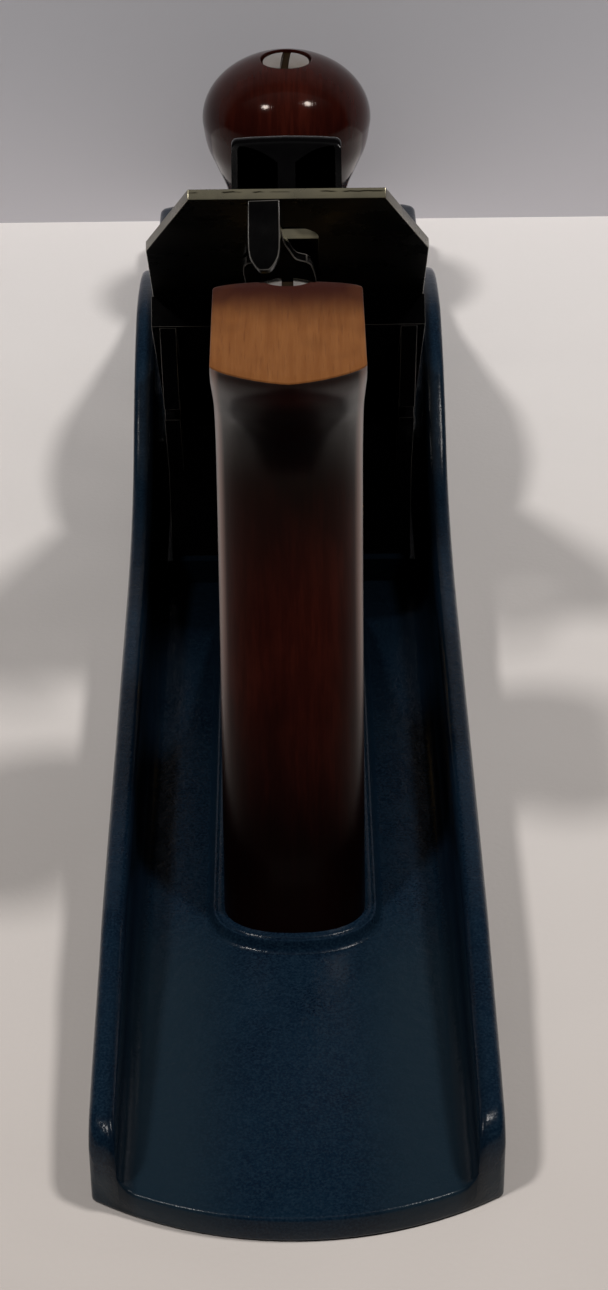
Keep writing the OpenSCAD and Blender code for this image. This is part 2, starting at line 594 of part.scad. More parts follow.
// The cap iron: flat above, with a sprung hump that comes down on the iron near its edge
cap_outer = let (t = cap_top_h) curve([[0.3, iron_t + 0.05], [3.4, t + 0.5], [9.6, t + cap_iron_hump],
    [17, t + cap_iron_hump * 0.68], [25, t + 0.3], [31, t]], 4);
cap_inner = let (t = iron_t) curve([[31, t], [24.4, t + 0.3], [16.4, t + cap_iron_hump * 0.62],
    [10, t + cap_iron_hump - 0.35], [5.4, t + 1.1], [2.4, t]], 4);
module cap_iron() color(steel) difference() {
    across(iron_w) polygon(on_side(concat(cap_outer, [[cap_iron_top_s, cap_top_h], [cap_iron_top_s, iron_t]],
                                          cap_inner)));
    for (side = [-1, 1]) on_bed(side * iron_w / 2, cap_iron_top_s) rotate([0, 0, 45])
        cube([9, 9, 20], center = true);
    on_bed(0, clamp_s, iron_t - over) cylinder(r = clamp_thread_r + run_fit, h = cap_iron_t + 2);
    on_bed(0, cap_screw_s, iron_t - over) {
        cylinder(r = 6, h = cap_iron_t + 2);
        translate([-6, -3, 0]) cube([12, 3, cap_iron_t + 2]);
        translate([0, -3, 0]) cylinder(r = 6, h = cap_iron_t + 2);
    }
    on_bed(0, finger_s, iron_t - over) translate([-finger_w / 2 - 1, -finger_t / 2 - 0.5, 0])
        cube([finger_w + 2, finger_t + 1, cap_iron_t + 2]);
}

module cap_iron_screw() color(steel) on_bed(0, clamp_s) difference() {
    union() {
        translate([0, 0, -clamp_head_t]) cylinder(r = clamp_head_r, h = clamp_head_t);
        cylinder(r = clamp_thread_r, h = cap_top_h);
    }
    translate([-clamp_head_r, -0.8, -clamp_head_t - over]) cube([2 * clamp_head_r, 1.6, over + 1.3]);
}

module lever_cap_screw() color(nickel) on_bed(0, cap_screw_s) difference() {
    union() {
        translate([0, 0, -cap_screw_bite]) cylinder(r = cap_screw_r, h = cap_plate_h + cap_screw_bite + over);
        translate([0, 0, cap_plate_h]) cylinder(r1 = cap_screw_head_r, r2 = 0.8 * cap_screw_head_r, h = cap_screw_head_t);
    }
    translate([-cap_screw_head_r - over, -0.8, cap_plate_h + 0.6 * cap_screw_head_t])
        cube([2 * (cap_screw_head_r + over), 1.6, cap_screw_head_t]);
}

// The lever cap's outline up the bed, for its right half
cap_half = let (w = lever_cap_w / 2, neck = lever_w / 2 + slip_gap * 3 + lever_ear_t) concat(
    [[w, cap_tip_s]], curve([[w, cap_tip_s + 8], [w, 44], [w - 2.6, 58], [w - 7.4, 72], [neck + 0.8, 86],
        [neck, 96], [neck, lever_pin_s + lever_ear_r]], 4));

// The lever cap: a hollow shell with a keyhole, and two ears that hold the cam lever's pin
module lever_cap() color(nickel) difference() {
    intersection() {
        on_bed() mirror([0, 1, 0]) linear_extrude(40) polygon(concat(cap_half, reversed(flip(cap_half))));
        across(2 * lever_cap_w) polygon(on_side(cap_side_outer));
    }
    // The hollow under the plate, inside its side walls
    intersection() {
        on_bed() mirror([0, 1, 0]) linear_extrude(40) polygon([
            [-lever_cap_w / 2 + 2.6, cap_tip_s + 5], [lever_cap_w / 2 - 2.6, cap_tip_s + 5],
            [lever_cap_w / 2 - 2.6, 44], [lever_cap_w / 2 - 10.4, 72], [lever_w / 2 - 1.2, 88],
            [lever_w / 2 - 1.2, 98], [-lever_w / 2 + 1.2, 98], [-lever_w / 2 + 1.2, 88],
            [-lever_cap_w / 2 + 10.4, 72], [-lever_cap_w / 2 + 2.6, 44]]);
        across(2 * lever_cap_w) polygon(on_side(cap_side_inner));
    }
    on_bed(0, cap_screw_s) {
        cylinder(r = cap_screw_r + hole_fit, h = 30);
        translate([-cap_screw_r - hole_fit, 0, 0]) cube([2 * (cap_screw_r + hole_fit), 14, 30]);
        translate([0, 14, 0]) cylinder(r = 7.4, h = 30);
    }
    // The gap between the ears, where the cam lever turns
    on_bed(0, lever_pin_s) translate([-lever_w / 2 - 3 * slip_gap, -12, 4])
        cube([lever_w + 6 * slip_gap, 19.2, 30]);
    on_bed(0, lever_pin_s, lever_pin_h) cross_rod(lever_pin_r, 60);
}
cap_side_outer = [[cap_tip_s, cap_foot_h], [cap_tip_s + 6, cap_foot_h], [28, cap_foot_h - 1.9],
    [100, spring_h + spring_t], [lever_pin_s + lever_ear_r - 1, spring_h + spring_t + 0.4],
    [lever_pin_s + lever_ear_r, lever_pin_h - 2], [lever_pin_s + lever_ear_r, lever_pin_h + 2],
    [lever_pin_s + 3, lever_pin_h + lever_ear_r - 1], [lever_pin_s, lever_pin_h + lever_ear_r - 0.6],
    [96, cap_plate_h + 0.4], [76, cap_plate_h], [52, cap_plate_h], [24, cap_plate_h - 1.8],
    [cap_tip_s + 2, cap_foot_h + 3], [cap_tip_s, cap_foot_h + 1.4]];
cap_side_inner = [[cap_tip_s + 5, 0], [100, 0], [100, cap_under_h], [52, cap_under_h],
    [24, cap_under_h - 1.8], [cap_tip_s + 5, cap_foot_h + 1]];

// The flat spring under the lever cap's upper end
module lever_cap_spring() color(steel) difference() {
    on_bed(0, 0, spring_h) mirror([0, 1, 0]) linear_extrude(spring_t)
        translate([-spring_w / 2, spring_foot_s]) square([spring_w, lever_pin_s + 4 - spring_foot_s]);
    on_bed(0, spring_rivet_s, spring_h - over) cylinder(r = 1.5, h = 4);
}

module spring_rivet() color(steel) on_bed(0, spring_rivet_s) {
    translate([0, 0, spring_h]) cylinder(r = 1.5, h = cap_under_h - spring_h);
    translate([0, 0, spring_h + spring_t]) cylinder(r = 2.6, h = cap_under_h - spring_h - spring_t);
}

module lever_pin() color(steel) on_bed(0, lever_pin_s, lever_pin_h)
    cross_rod(lever_pin_r, lever_w + 6 * slip_gap + 2 * lever_ear_t);

// The cam lever: a hollow shell that lies along the bed, with a rib between two channels
module lever_cap_lever() color(japan) on_bed(0, lever_pin_s, lever_pin_h) difference() {
    tip = lever_tip_h - lever_pin_h;
    union() {
        intersection() {
            rotate([90, 0, 90]) translate([0, 0, -lever_w / 2]) linear_extrude(lever_w) polygon([
                [3, 3.8], [-6, tip - 2.2], [-14, tip - 0.8], [-lever_l, tip], [-lever_l, -3.4],
                [-14, -3.8], [-5, -4], [3, -2]]);
            translate([0, 0, -10]) mirror([0, 1, 0]) linear_extrude(30) polygon([
                [-lever_w / 2, -8], [lever_w / 2, -8], [lever_w / 2, lever_l - 2.5],
                [lever_w / 2 - 1, lever_l], [-lever_w / 2 + 1, lever_l], [-lever_w / 2, lever_l - 2.5]]);
        }
        cross_rod(lever_ear_r - 0.9, lever_w);
        translate([-lever_w / 2, -3, -lever_pin_h + spring_h + spring_t + slip_gap]) cube([lever_w, 3.2, 3]);
    }
    cross_rod(lever_pin_r + run_fit, 2 * lever_w);
    for (side = [-1, 1]) {
        x = side * (lever_w / 4 - lever_skirt_t / 4);
        r = lever_w / 4 - lever_skirt_t * 0.85;
        translate([x, -7.4 - r, tip - 2.4 - r]) rotate([90, 0, 0]) cylinder(r = r, h = 60);
        translate([x - r, -68 - r, -20]) cube([2 * r, 60.6, tip + 17.6 - r]);
    }
}

// Level sections of the rear handle: height, back, front, depth of the back's and the front's rounding,
// and how square the back is
tote_foot_z = floor_t + seat_h;
tote_stations = let (z = tote_foot_z, k = (tote_top_z - tote_foot_z) / 102, l = tote_foot_l) [
    [z, 0, l, 8, 10, 2.3], [z + 4 * k, 1.6, l - 1, 8, 10, 2.3], [z + 7.5 * k, 3, l - 6.5, 8.2, 10, 2.3],
    [z + 10 * k, 3.8, l - 15, 8.4, 10, 2.3], [z + 13 * k, 4.8, 80, 8.6, 10, 2.3],
    [z + 18 * k, 6.8, 66.5, 9, 10, 2.3], [z + 25 * k, 9.6, 56, 9, 9.6, 2.3],
    [z + 33 * k, 12.6, 50.2, 9, 9.2, 2.3], [z + 43 * k, 16.4, 46.7, 9, 9, 2.3],
    [z + 55 * k, 20.6, 46, 9, 9, 2.3], [z + 67 * k, 23.6, 48, 9, 9, 2.3], [z + 76 * k, 24.4, 50.8, 9, 9, 2.3],
    [z + 85 * k, 21, 52.3, 8.4, 8.4, 2.2], [z + 92 * k, 13.9, 51.5, 7.4, 6.6, 2],
    [z + 97 * k, 8.4, 48.4, 6.6, 4.4, 1.7], [z + 100 * k, 6, 44.4, 6.2, 3.2, 1.5],
    [z + 102 * k, 5.5, 40.4, 6, 2.6, 1.4]];

// A solid skin over rows of points that each go once round, closed at both ends
module loft(rows) {
    n = len(rows[0]);
    m = len(rows);
    polyhedron(points = [for (r = rows) each r], faces = concat(
        [[for (k = [0:n - 1]) k]], [[for (k = [n - 1:-1:0]) (m - 1) * n + k]],
        [for (i = [0:m - 2]) for (k = [0:n - 1]) let (a = i * n + k, b = i * n + (k + 1) % n)
            each [[a, a + n, b + n], [a, b + n, b]]]));
}

// Places children on the rear handle's leaning bolt, whose own z starts at a height over the sole
module tote_axis(z) {
    translate([0, tote_y + tote_bolt_foot + z * tan(tote_lean), z]) rotate([-tote_lean, 0, 0]) children();
}

module tote() color(wood) difference() {
    loft([for (s = curve(tote_stations, 2))
        [for (p = tote_section(tote_y + s[1], tote_y + s[2], s[3], s[4], 0, s[5])) [p[0], p[1], s[0]]]]);
    tote_axis(tote_foot_z) {
        translate([0, 0, -tote_foot_z]) cylinder(r = bolt_r + hole_fit, h = 2 * tote_top_z);
        reach = tote_nut_z / cos(tote_lean);
        translate([0, 0, reach - nut_barrel_l]) cylinder(r = nut_barrel_r + hole_fit, h = tote_top_z);
        translate([0, 0, reach]) cylinder(r = nut_r + hole_fit, h = tote_top_z);
    }
    translate([0, tote_y + toe_screw_forward, tote_foot_z - over]) {
        cylinder(r = toe_screw_r + hole_fit, h = tote_top_z);
        translate([0, 0, over + toe_head_deep]) cylinder(r = toe_head_r + hole_fit, h = tote_top_z);
    }
}

// Height of the nut's seat over the foot of the rear handle
tote_nut_z = tote_top_z - tote_foot_z - nut_seat_drop;
module tote_bolt() color(steel) tote_axis(tote_foot_z) translate([0, 0, -bolt_bite])
    cylinder(r = bolt_r, h = tote_nut_z / cos(tote_lean) - nut_cover + bolt_bite);

// A round slotted nut: a barrel let into the wood under a domed head
module handle_nut() {
    difference() {
        union() {
            intersection() {
                cylinder(r = nut_r, h = nut_head_t);
                translate([0, 0, nut_head_t - 14]) sphere(r = 14);
            }
            translate([0, 0, -nut_barrel_l]) cylinder(r = nut_barrel_r, h = nut_barrel_l + 0.6);
        }
        translate([0, 0, -nut_barrel_l - over]) cylinder(r = bolt_r, h = nut_barrel_l - nut_cover + 0.4 + over);
        translate([-nut_slot_w / 2, -nut_r - 1, nut_head_t - nut_slot_d]) cube([nut_slot_w, 2 * nut_r + 2, 3]);
    }
}

module tote_nut() color(nickel) tote_axis(tote_foot_z)
    translate([0, 0, tote_nut_z / cos(tote_lean)]) handle_nut();

module tote_toe_screw() color(nickel) translate([0, tote_y + toe_screw_forward, 0]) difference() {
    union() {
        translate([0, 0, seat_z - bolt_bite]) cylinder(r = toe_screw_r, h = bolt_bite + toe_head_deep + over);
        translate([0, 0, seat_z + toe_head_deep])
            cylinder(r1 = toe_head_r, r2 = toe_head_r - 1, h = toe_head_t);
    }
    translate([-6, -0.5, seat_z + toe_head_deep + toe_head_t - 1]) cube([12, 1, 3]);
}

// The knob's outline from its foot to its widest ring, then its elliptical dome
knob_flat_r = nut_r + 1.2;
function dome(a) = [knob_r * cos(a), knob_mid_z + knob_dome_h * sin(a)];
knob_top_z = dome(acos(knob_flat_r / knob_r))[1];
knob_side = let (z = seat_z, k = (knob_mid_z - seat_z) / 46.9, w = knob_waist_r) concat(
    curve([[knob_foot_r - 0.6, z], [knob_foot_r, z + 1.4], [knob_foot_r - 0.5, z + 4 * k],
           [w + 0.9, z + 10 * k], [w, z + 17 * k], [w + 0.4, z + 24 * k],
           [w + 2.1, z + 31 * k], [knob_r - 2.9, z + 36 * k], [knob_r - 0.9, z + 41 * k], dome(-2)], 3),
    [for (k = [0:14]) dome(acos(knob_flat_r / knob_r) * k / 14)]);

module knob() color(wood) translate([0, knob_y, 0]) difference() {
    rotate_extrude($fn = 96) polygon(concat([[0, seat_z]], knob_side, [[0, knob_top_z]]));
    cylinder(r = bolt_r + hole_fit, h = knob_top_z + over);
    translate([0, 0, knob_nut_z - nut_barrel_l]) cylinder(r = nut_barrel_r + hole_fit, h = knob_top_z);
    translate([0, 0, knob_nut_z]) cylinder(r = nut_r + hole_fit, h = knob_top_z);
}

knob_nut_z = knob_top_z - nut_head_t + nut_proud;
module knob_bolt() color(steel) translate([0, knob_y, seat_z - bolt_bite])
    cylinder(r = bolt_r, h = knob_nut_z - nut_cover - seat_z + bolt_bite);

module knob_nut() color(nickel) translate([0, knob_y, knob_nut_z]) rotate([0, 0, 4]) handle_nut();

sole_casting();
frog();
frog_screws();
frog_washers();
frog_adjusting_screw();
frog_adjusting_clip();
frog_clip_screw();
depth_stud();
depth_wheel();
depth_yoke();
yoke_pin();
lateral_lever();
lateral_pivot_pin();
lateral_roller_pin();
lateral_roller();
plane_iron();
cap_iron();
cap_iron_screw();
lever_cap_screw();
lever_cap();
lever_cap_spring();
spring_rivet();
lever_pin();
lever_cap_lever();
tote();
tote_bolt();
tote_nut();
tote_toe_screw();
knob();
knob_bolt();
knob_nut();
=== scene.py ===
"""The looks of the jack plane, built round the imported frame. All sizes are in metres."""
import json
import math

import bmesh
import bpy
from bpy.props import FloatProperty, FloatVectorProperty, IntProperty, PointerProperty
from mathutils import Matrix, Vector


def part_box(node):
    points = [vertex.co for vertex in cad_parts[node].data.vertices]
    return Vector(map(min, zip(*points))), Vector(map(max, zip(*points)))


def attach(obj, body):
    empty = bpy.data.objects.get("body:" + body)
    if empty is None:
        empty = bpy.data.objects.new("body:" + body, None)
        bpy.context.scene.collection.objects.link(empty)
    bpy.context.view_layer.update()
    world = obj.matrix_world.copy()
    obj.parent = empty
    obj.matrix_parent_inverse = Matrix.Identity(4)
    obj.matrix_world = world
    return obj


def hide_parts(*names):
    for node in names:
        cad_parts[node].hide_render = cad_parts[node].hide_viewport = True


bl_info = {
    "name": "Jack Plane",
    "version": (1, 0, 0),
    "blender": (4, 5, 0),
    "location": "View3D > Sidebar > Jack Plane",
    "description": "Models and finishes the pieces of an iron jack plane",
    "category": "Object",
}

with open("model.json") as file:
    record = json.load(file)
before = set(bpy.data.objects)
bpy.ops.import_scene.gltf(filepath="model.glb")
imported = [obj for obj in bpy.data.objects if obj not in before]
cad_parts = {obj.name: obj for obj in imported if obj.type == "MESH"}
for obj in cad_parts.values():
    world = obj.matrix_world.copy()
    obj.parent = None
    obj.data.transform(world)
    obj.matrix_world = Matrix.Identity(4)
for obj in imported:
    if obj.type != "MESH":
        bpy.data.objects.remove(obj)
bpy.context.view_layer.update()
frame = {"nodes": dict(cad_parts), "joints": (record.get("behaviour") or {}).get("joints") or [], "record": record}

MM = 0.001
SQUARE_HALF = math.sqrt(0.5)


def joint_place(name):
    """The place of one of the frame's joints."""
    return Vector(next(j["pos_m"] for j in frame["joints"] if j["name"] == name))


# Places that the frame gives
SOLE_LO, SOLE_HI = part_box("sole_casting")
HALF_W = SOLE_HI.x
HALF_L = SOLE_HI.y
TOTE_LO, TOTE_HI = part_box("tote")
KNOB_LO, KNOB_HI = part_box("knob")
KNOB_Y = (KNOB_LO.y + KNOB_HI.y) / 2
FLOOR_Z = 0.0048
SEAT_Z = TOTE_LO.z
MOUTH_Y = joint_place("lateral_swing").y + 0.1 * SQUARE_HALF
LEVER_PIN = joint_place("cap_lever_hinge")
NUT_HEAD = 0.0024
NUT_DROP = 0.0038
BED_ROOM = 0.00002
# The most that a length in the panel may be
LONGEST = 0.5


# Sizes and colours that a user would change


def length(name, text, value):
    """A length that the user may change."""
    return FloatProperty(
        name=name, description=text, default=value, min=0.0, max=LONGEST, unit="LENGTH", precision=5
    )


def colour(name, text, value):
    """A colour that the user may change."""
    return FloatVectorProperty(
        name=name, description=text, default=value, size=3, min=0.0, max=1.0, subtype="COLOR"
    )


def lamp_power(name, text, value):
    """A lamp's power in watts."""
    return FloatProperty(name=name, description=text, default=value, unit="POWER")


class PlaneSizes(bpy.types.PropertyGroup):
    """Roundings and details that the looks add to the frame's sizes."""

    rim_round: length("Rim rounding", "Radius along the top of each cheek", 0.0013)
    end_round: length("End rounding", "Radius round the heel's and the toe's edges", 0.0007)
    corner_round: length("Cheek corner", "Radius of the upper corner at each cheek's end", 0.0055)
    tray_fillet: length("Tray fillet", "Radius between a cheek and the floor of the tray", 0.0032)
    edge_soft: length("Broken edge", "Width of the small bevel on machined edges", 0.00018)
    cast_soft: length("Cast edge", "Width of the bevel on cast edges", 0.0005)
    lever_wall: length("Lever wall", "Thickness of the cam lever's shell", 0.0011)
    lever_rib: length("Lever rib", "Width of the rib inside the cam lever", 0.0031)
    lever_swoop: length("Lever swoop", "How far the shell drops from its sides to its rib", 0.0034)
    lever_lip: length("Lever lip", "How far the cam lever's back rounds over at its tip", 0.0034)
    lever_nose: length("Lever nose", "How far the corners of the cam lever's tip are drawn back", 0.0009)
    turning_steps: IntProperty(
        name="Turning steps", description="Steps round a turned piece", default=96, min=24, max=256
    )


class PlaneColours(bpy.types.PropertyGroup):
    """The finishes' main colours."""

    enamel: colour("Enamel", "Teal blue enamel of the casting", (0.0032, 0.0120, 0.0250))
    enamel_deep: colour("Enamel, deep", "Enamel in its darker mottles", (0.0018, 0.0060, 0.0150))
    japan: colour("Black japan", "Black gloss of the frog and levers", (0.0011, 0.0010, 0.0012))
    wood: colour("Lacquered wood", "Red brown of the handle and the knob", (0.040, 0.0068, 0.0040))
    wood_deep: colour("Lacquered wood, deep", "Dark figure under the lacquer", (0.0120, 0.0019, 0.0013))
    raw_wood: colour("Raw wood", "Bare wood on the rear handle's flat top", (0.200, 0.074, 0.0215))
    raw_red: colour("Raw wood, stained", "Stained wood near the nut", (0.034, 0.0060, 0.0026))
    steel: colour("Old steel", "Aged steel of the cutter's edges", (0.20, 0.185, 0.135))
    bright_steel: colour("Bright steel", "Machined steel of the small pieces", (0.56, 0.55, 0.52))
    nickel: colour("Nickel plate", "Plated nuts and screws", (0.66, 0.62, 0.56))
    brass: colour("Brass", "Brass of the depth wheel", (0.60, 0.41, 0.14))
    cloth: colour("Floor", "Pale floor near the camera", (0.60, 0.555, 0.525))
    # Painted light: the far floor is brighter
    cloth_far_lit: colour("Floor, far", "Pale floor at the back", (0.78, 0.755, 0.745))
    wall: colour("Backdrop", "Grey backdrop behind the plane", (0.60, 0.605, 0.65))
    # Painted light: the backdrop is brighter close to the floor
    wall_low_lit: colour("Backdrop, low", "Backdrop close to the floor", (0.66, 0.65, 0.69))


class StageLight(bpy.types.PropertyGroup):
    """Lamps of the stage."""

    left: lamp_power("Left lamp", "Power of the lamp on the left", 67.0)
    right: lamp_power("Right lamp", "Power of the lamp on the right", 7.4)
    room: FloatProperty(name="Room", description="Strength of the ceiling's own soft light", default=0.50)


def sizes():
    return bpy.context.scene.plane_sizes


def colours():
    return bpy.context.scene.plane_colours


# Modelling helpers


def deselect():
    """Leaves edit mode and selects nothing."""
    if bpy.context.mode != "OBJECT":
        bpy.ops.object.mode_set(mode="OBJECT")
    bpy.ops.object.select_all(action="DESELECT")


def pick(piece):
    """Selects one piece alone."""
    deselect()
    piece.select_set(True)
    bpy.context.view_layer.objects.active = piece


def edit(piece):
    """Opens one piece in edit mode with nothing selected."""
    pick(piece)
    bpy.ops.object.mode_set(mode="EDIT")
    bpy.ops.mesh.select_all(action="DESELECT")
    return bmesh.from_edit_mesh(piece.data)


def close_edit():
    bpy.ops.object.mode_set(mode="OBJECT")


def finish_skin(piece, angle=35.0):
    """Merges doubles, turns the faces outwards and shades by angle."""
    edit(piece)
    bpy.ops.mesh.select_all(action="SELECT")
    bpy.ops.mesh.remove_doubles(threshold=1e-7)
    bpy.ops.mesh.normals_make_consistent(inside=False)
    close_edit()
    pick(piece)
    bpy.ops.object.shade_smooth_by_angle(angle=math.radians(angle))
    return piece


def pull_rings(name, rings, cap=True):
    """Adds a circle, shapes it to the first ring and extrudes it through the others."""
    deselect()
    bpy.ops.mesh.primitive_circle_add(vertices=len(rings[0]), radius=0.01, location=(0, 0, 0))
    piece = bpy.context.active_object
    piece.name = name
    bpy.ops.object.mode_set(mode="EDIT")
    bpy.ops.mesh.select_all(action="SELECT")
    mesh = bmesh.from_edit_mesh(piece.data)
    row = [v.index for v in mesh.verts]
    for vert, point in zip(mesh.verts, rings[0]):
        vert.co = point
    if cap:
        bpy.ops.mesh.edge_face_add()
        bpy.ops.mesh.select_mode(type="EDGE")
        mesh = bmesh.from_edit_mesh(piece.data)
        for face in mesh.faces:
            face.select_set(False)
        for edge in mesh.edges:
            edge.select_set(True)
    for ring in rings[1:]:
        bpy.ops.mesh.extrude_edges_indiv()
        mesh = bmesh.from_edit_mesh(piece.data)
        partner = {}
        for vert in mesh.verts:
            if vert.select:
                for link in vert.link_edges:
                    other = link.other_vert(vert)
                    if not other.select:
                        partner[other.index] = vert
        moved = [partner[i] for i in row]
        for vert, point in zip(moved, ring):
            vert.co = point
        mesh.verts.index_update()
        row = [vert.index for vert in moved]
    bmesh.update_edit_mesh(piece.data)
    if cap:
        bpy.ops.mesh.edge_face_add()
    bpy.ops.mesh.select_mode(type="VERT")
    close_edit()
    return finish_skin(piece)


def turned(name, outline, steps, place=(0, 0, 0)):
    """Spins an outline of radius and height round an upright axis."""
    deselect()
    bpy.ops.mesh.primitive_plane_add(size=0.01, location=(0, 0, 0))
    piece = bpy.context.active_object
    piece.name = name
    bpy.ops.object.mode_set(mode="EDIT")
    mesh = bmesh.from_edit_mesh(piece.data)
    bpy.ops.mesh.select_all(action="DESELECT")
    mesh.verts.ensure_lookup_table()
    for vert in list(mesh.verts)[1:]:
        vert.select_set(True)
    bpy.ops.mesh.delete(type="VERT")
    mesh = bmesh.from_edit_mesh(piece.data)
    mesh.verts.ensure_lookup_table()
    mesh.verts[0].co = (outline[0][0], 0, outline[0][1])
    mesh.verts[0].select_set(True)
    for (r0, z0), (r1, z1) in zip(outline, outline[1:]):
        bpy.ops.mesh.extrude_vertices_move(TRANSFORM_OT_translate={"value": (r1 - r0, 0, z1 - z0)})
    bpy.ops.mesh.select_all(action="SELECT")
    bpy.ops.mesh.spin(steps=steps, angle=2 * math.pi, center=(0, 0, 0), axis=(0, 0, 1))
    bpy.ops.mesh.select_all(action="SELECT")
    bpy.ops.mesh.remove_doubles(threshold=1e-6)
    close_edit()
    piece.location = place
    pick(piece)
    bpy.ops.object.transform_apply(location=True)
    return finish_skin(piece)


def prism(name, outline, x0, x1):
    """An outline of y and z drawn out along X."""
    deselect()
    bpy.ops.mesh.primitive_circle_add(
        vertices=len(outline), radius=0.01, fill_type="NGON", location=(0, 0, 0)
    )
    piece = bpy.context.active_object
    piece.name = name
    bpy.ops.object.mode_set(mode="EDIT")
    mesh = bmesh.from_edit_mesh(piece.data)
    for vert, (y, z) in zip(mesh.verts, outline):
        vert.co = (x0, y, z)
    bpy.ops.mesh.select_all(action="SELECT")
    bpy.ops.mesh.extrude_region_move(TRANSFORM_OT_translate={"value": (x1 - x0, 0, 0)})
    bmesh.update_edit_mesh(piece.data)
    close_edit()
    return finish_skin(piece)


def rod(name, start, end, radius, sides=48):
    """A plain rod between two points, for cuts and unions."""
    deselect()
    along = Vector(end) - Vector(start)
    middle = (Vector(start) + Vector(end)) / 2
    turn = Vector((0, 0, 1)).rotation_difference(along).to_euler()
    bpy.ops.mesh.primitive_cylinder_add(
        vertices=sides, radius=radius, depth=along.length, location=middle, rotation=turn
    )
    piece = bpy.context.active_object
    piece.name = name
    bpy.ops.object.transform_apply(location=True, rotation=True, scale=True)
    return piece


def carve(piece, tool, operation="DIFFERENCE"):
    """Applies a boolean with a tool piece, then deletes the tool."""
    pick(piece)
    step = piece.modifiers.new("Carve", "BOOLEAN")
    step.operation = operation
    step.solver = "EXACT"
    step.object = tool
    bpy.ops.object.modifier_apply(modifier=step.name)
    bpy.data.objects.remove(tool)


def soften(piece, width, segments=2, angle=30.0):
    """Breaks a piece's sharp edges with a small bevel, and marks the bevel's faces, which the black finish paints
    lighter as wear from rubbing and as edge highlight.
    """
    pick(piece)
    piece.data.materials.clear()
    for slot in range(2):
        piece.data.materials.append(None)
    step = piece.modifiers.new("Soften", "BEVEL")
    step.width = width
    step.segments = segments
    step.limit_method = "ANGLE"
    step.angle_limit = math.radians(angle)
    step.use_clamp_overlap = True
    step.harden_normals = False
    step.material = 1
    bpy.ops.object.modifier_apply(modifier=step.name)
    rubbed = piece.data.attributes.new("rubbed", "FLOAT", "FACE")
    for face in piece.data.polygons:
        rubbed.data[face.index].value = float(face.material_index == 1)
        face.material_index = 0
    piece.data.materials.clear()
    bpy.ops.object.shade_smooth_by_angle(angle=math.radians(32))
    flats = piece.modifiers.new("Flats", "WEIGHTED_NORMAL")
    flats.keep_sharp = True
    bpy.ops.object.modifier_apply(modifier=flats.name)


def dressed_copy(node, name, width):
    """A copy of a CAD node with its flats cleaned up and its edges broken."""
    deselect()
    piece = frame["nodes"][node].copy()
    piece.data = piece.data.copy()
    piece.name = name
    piece.parent = None
    for key in list(piece.keys()):
        if key.startswith("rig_"):
            del piece[key]
    bpy.context.scene.collection.objects.link(piece)
    piece.matrix_world = Matrix.Identity(4)
    piece.data.materials.clear()
    edit(piece)
    bpy.ops.mesh.select_all(action="SELECT")
    bpy.ops.mesh.remove_doubles(threshold=2e-6)
    bpy.ops.mesh.customdata_custom_splitnormals_clear()
    bpy.ops.mesh.mark_sharp(clear=True)
    bpy.ops.mesh.dissolve_limited(angle_limit=math.radians(1.0))
    close_edit()
    soften(piece, width)
    return piece


def curve(points, steps):
    """A smooth curve through points of any dimension."""
    out = []
    last = len(points) - 1
    for i in range(last):
        a, b, c, d = (points[max(i - 1, 0)], points[i], points[i + 1], points[min(i + 2, last)])
        for k in range(steps):
            t = k / steps
            out.append(tuple(
                0.5 * (2 * q + (r - p) * t + (2 * p - 5 * q + 4 * r - s) * t * t
                       + (3 * q - p - 3 * r + s) * t ** 3)
                for p, q, r, s in zip(a, b, c, d)
            ))
    out.append(tuple(points[last]))
    return out


def mark_grime(piece, inside):
    """Marks the faces in a crevice, so that the finish darkens them."""
    marks = piece.data.attributes.new("grime", "FLOAT", "FACE")
    for face in piece.data.polygons:
        marks.data[face.index].value = 1.0 if inside(face.center) else 0.0


def between(x, table):
    """A straight-line reading of a table of x and y."""
    for (x0, y0), (x1, y1) in zip(table, table[1:]):
        if x <= x1:
            share = 0.0 if x1 == x0 else max(0.0, (x - x0) / (x1 - x0))
            return y0 + (y1 - y0) * share
    return table[-1][1]


# Node helpers


def add(tree, kind, values=None, **settings):
    """Adds a node, with its settings and the values of its sockets."""
    node = tree.nodes.new(kind)
    for key, value in settings.items():
        setattr(node, key, value)
    for key, value in (values or {}).items():
        if isinstance(value, bpy.types.NodeSocket):
            tree.links.new(value, node.inputs[key])
        else:
            node.inputs[key].default_value = value
    return node


def opaque(rgb):
    return (rgb[0], rgb[1], rgb[2], 1.0)


def ramp(tree, factor, stops):
    """A colour ramp with stops of place and grey value or colour."""
    node = tree.nodes.new("ShaderNodeValToRGB")
    entries = node.color_ramp.elements
    while len(entries) > 1:
        entries.remove(entries[-1])
    for i, (place, value) in enumerate(stops):
        entry = entries[0] if i == 0 else entries.new(place)
        entry.position = place
        entry.color = opaque(value) if hasattr(value, "__len__") else (value, value, value, 1.0)
    tree.links.new(factor, node.inputs["Fac"])
    return node.outputs["Color"]


def math_node(tree, operation, a, b=None, c=None):
    """One Math node, with sockets or numbers as its inputs."""
    node = tree.nodes.new("ShaderNodeMath")
    node.operation = operation
    for socket, value in zip(node.inputs, (a, b, c)):
        if isinstance(value, bpy.types.NodeSocket):
            tree.links.new(value, socket)
        elif value is not None:
            socket.default_value = value
    return node.outputs[0]


def times(tree, first, *others):
    """The product of masks and numbers, taken in their order."""
    for other in others:
        first = math_node(tree, "MULTIPLY", first, other)
    return first


def blend(tree, factor, a, b):
    """Mixes two colours by a factor."""
    node = tree.nodes.new("ShaderNodeMix")
    node.data_type = "RGBA"
    for key, value in ((0, factor), (6, a), (7, b)):
        if isinstance(value, bpy.types.NodeSocket):
            tree.links.new(value, node.inputs[key])
        elif key == 0:
            node.inputs[0].default_value = value
        else:
            node.inputs[key].default_value = opaque(value)
    return node.outputs[2]


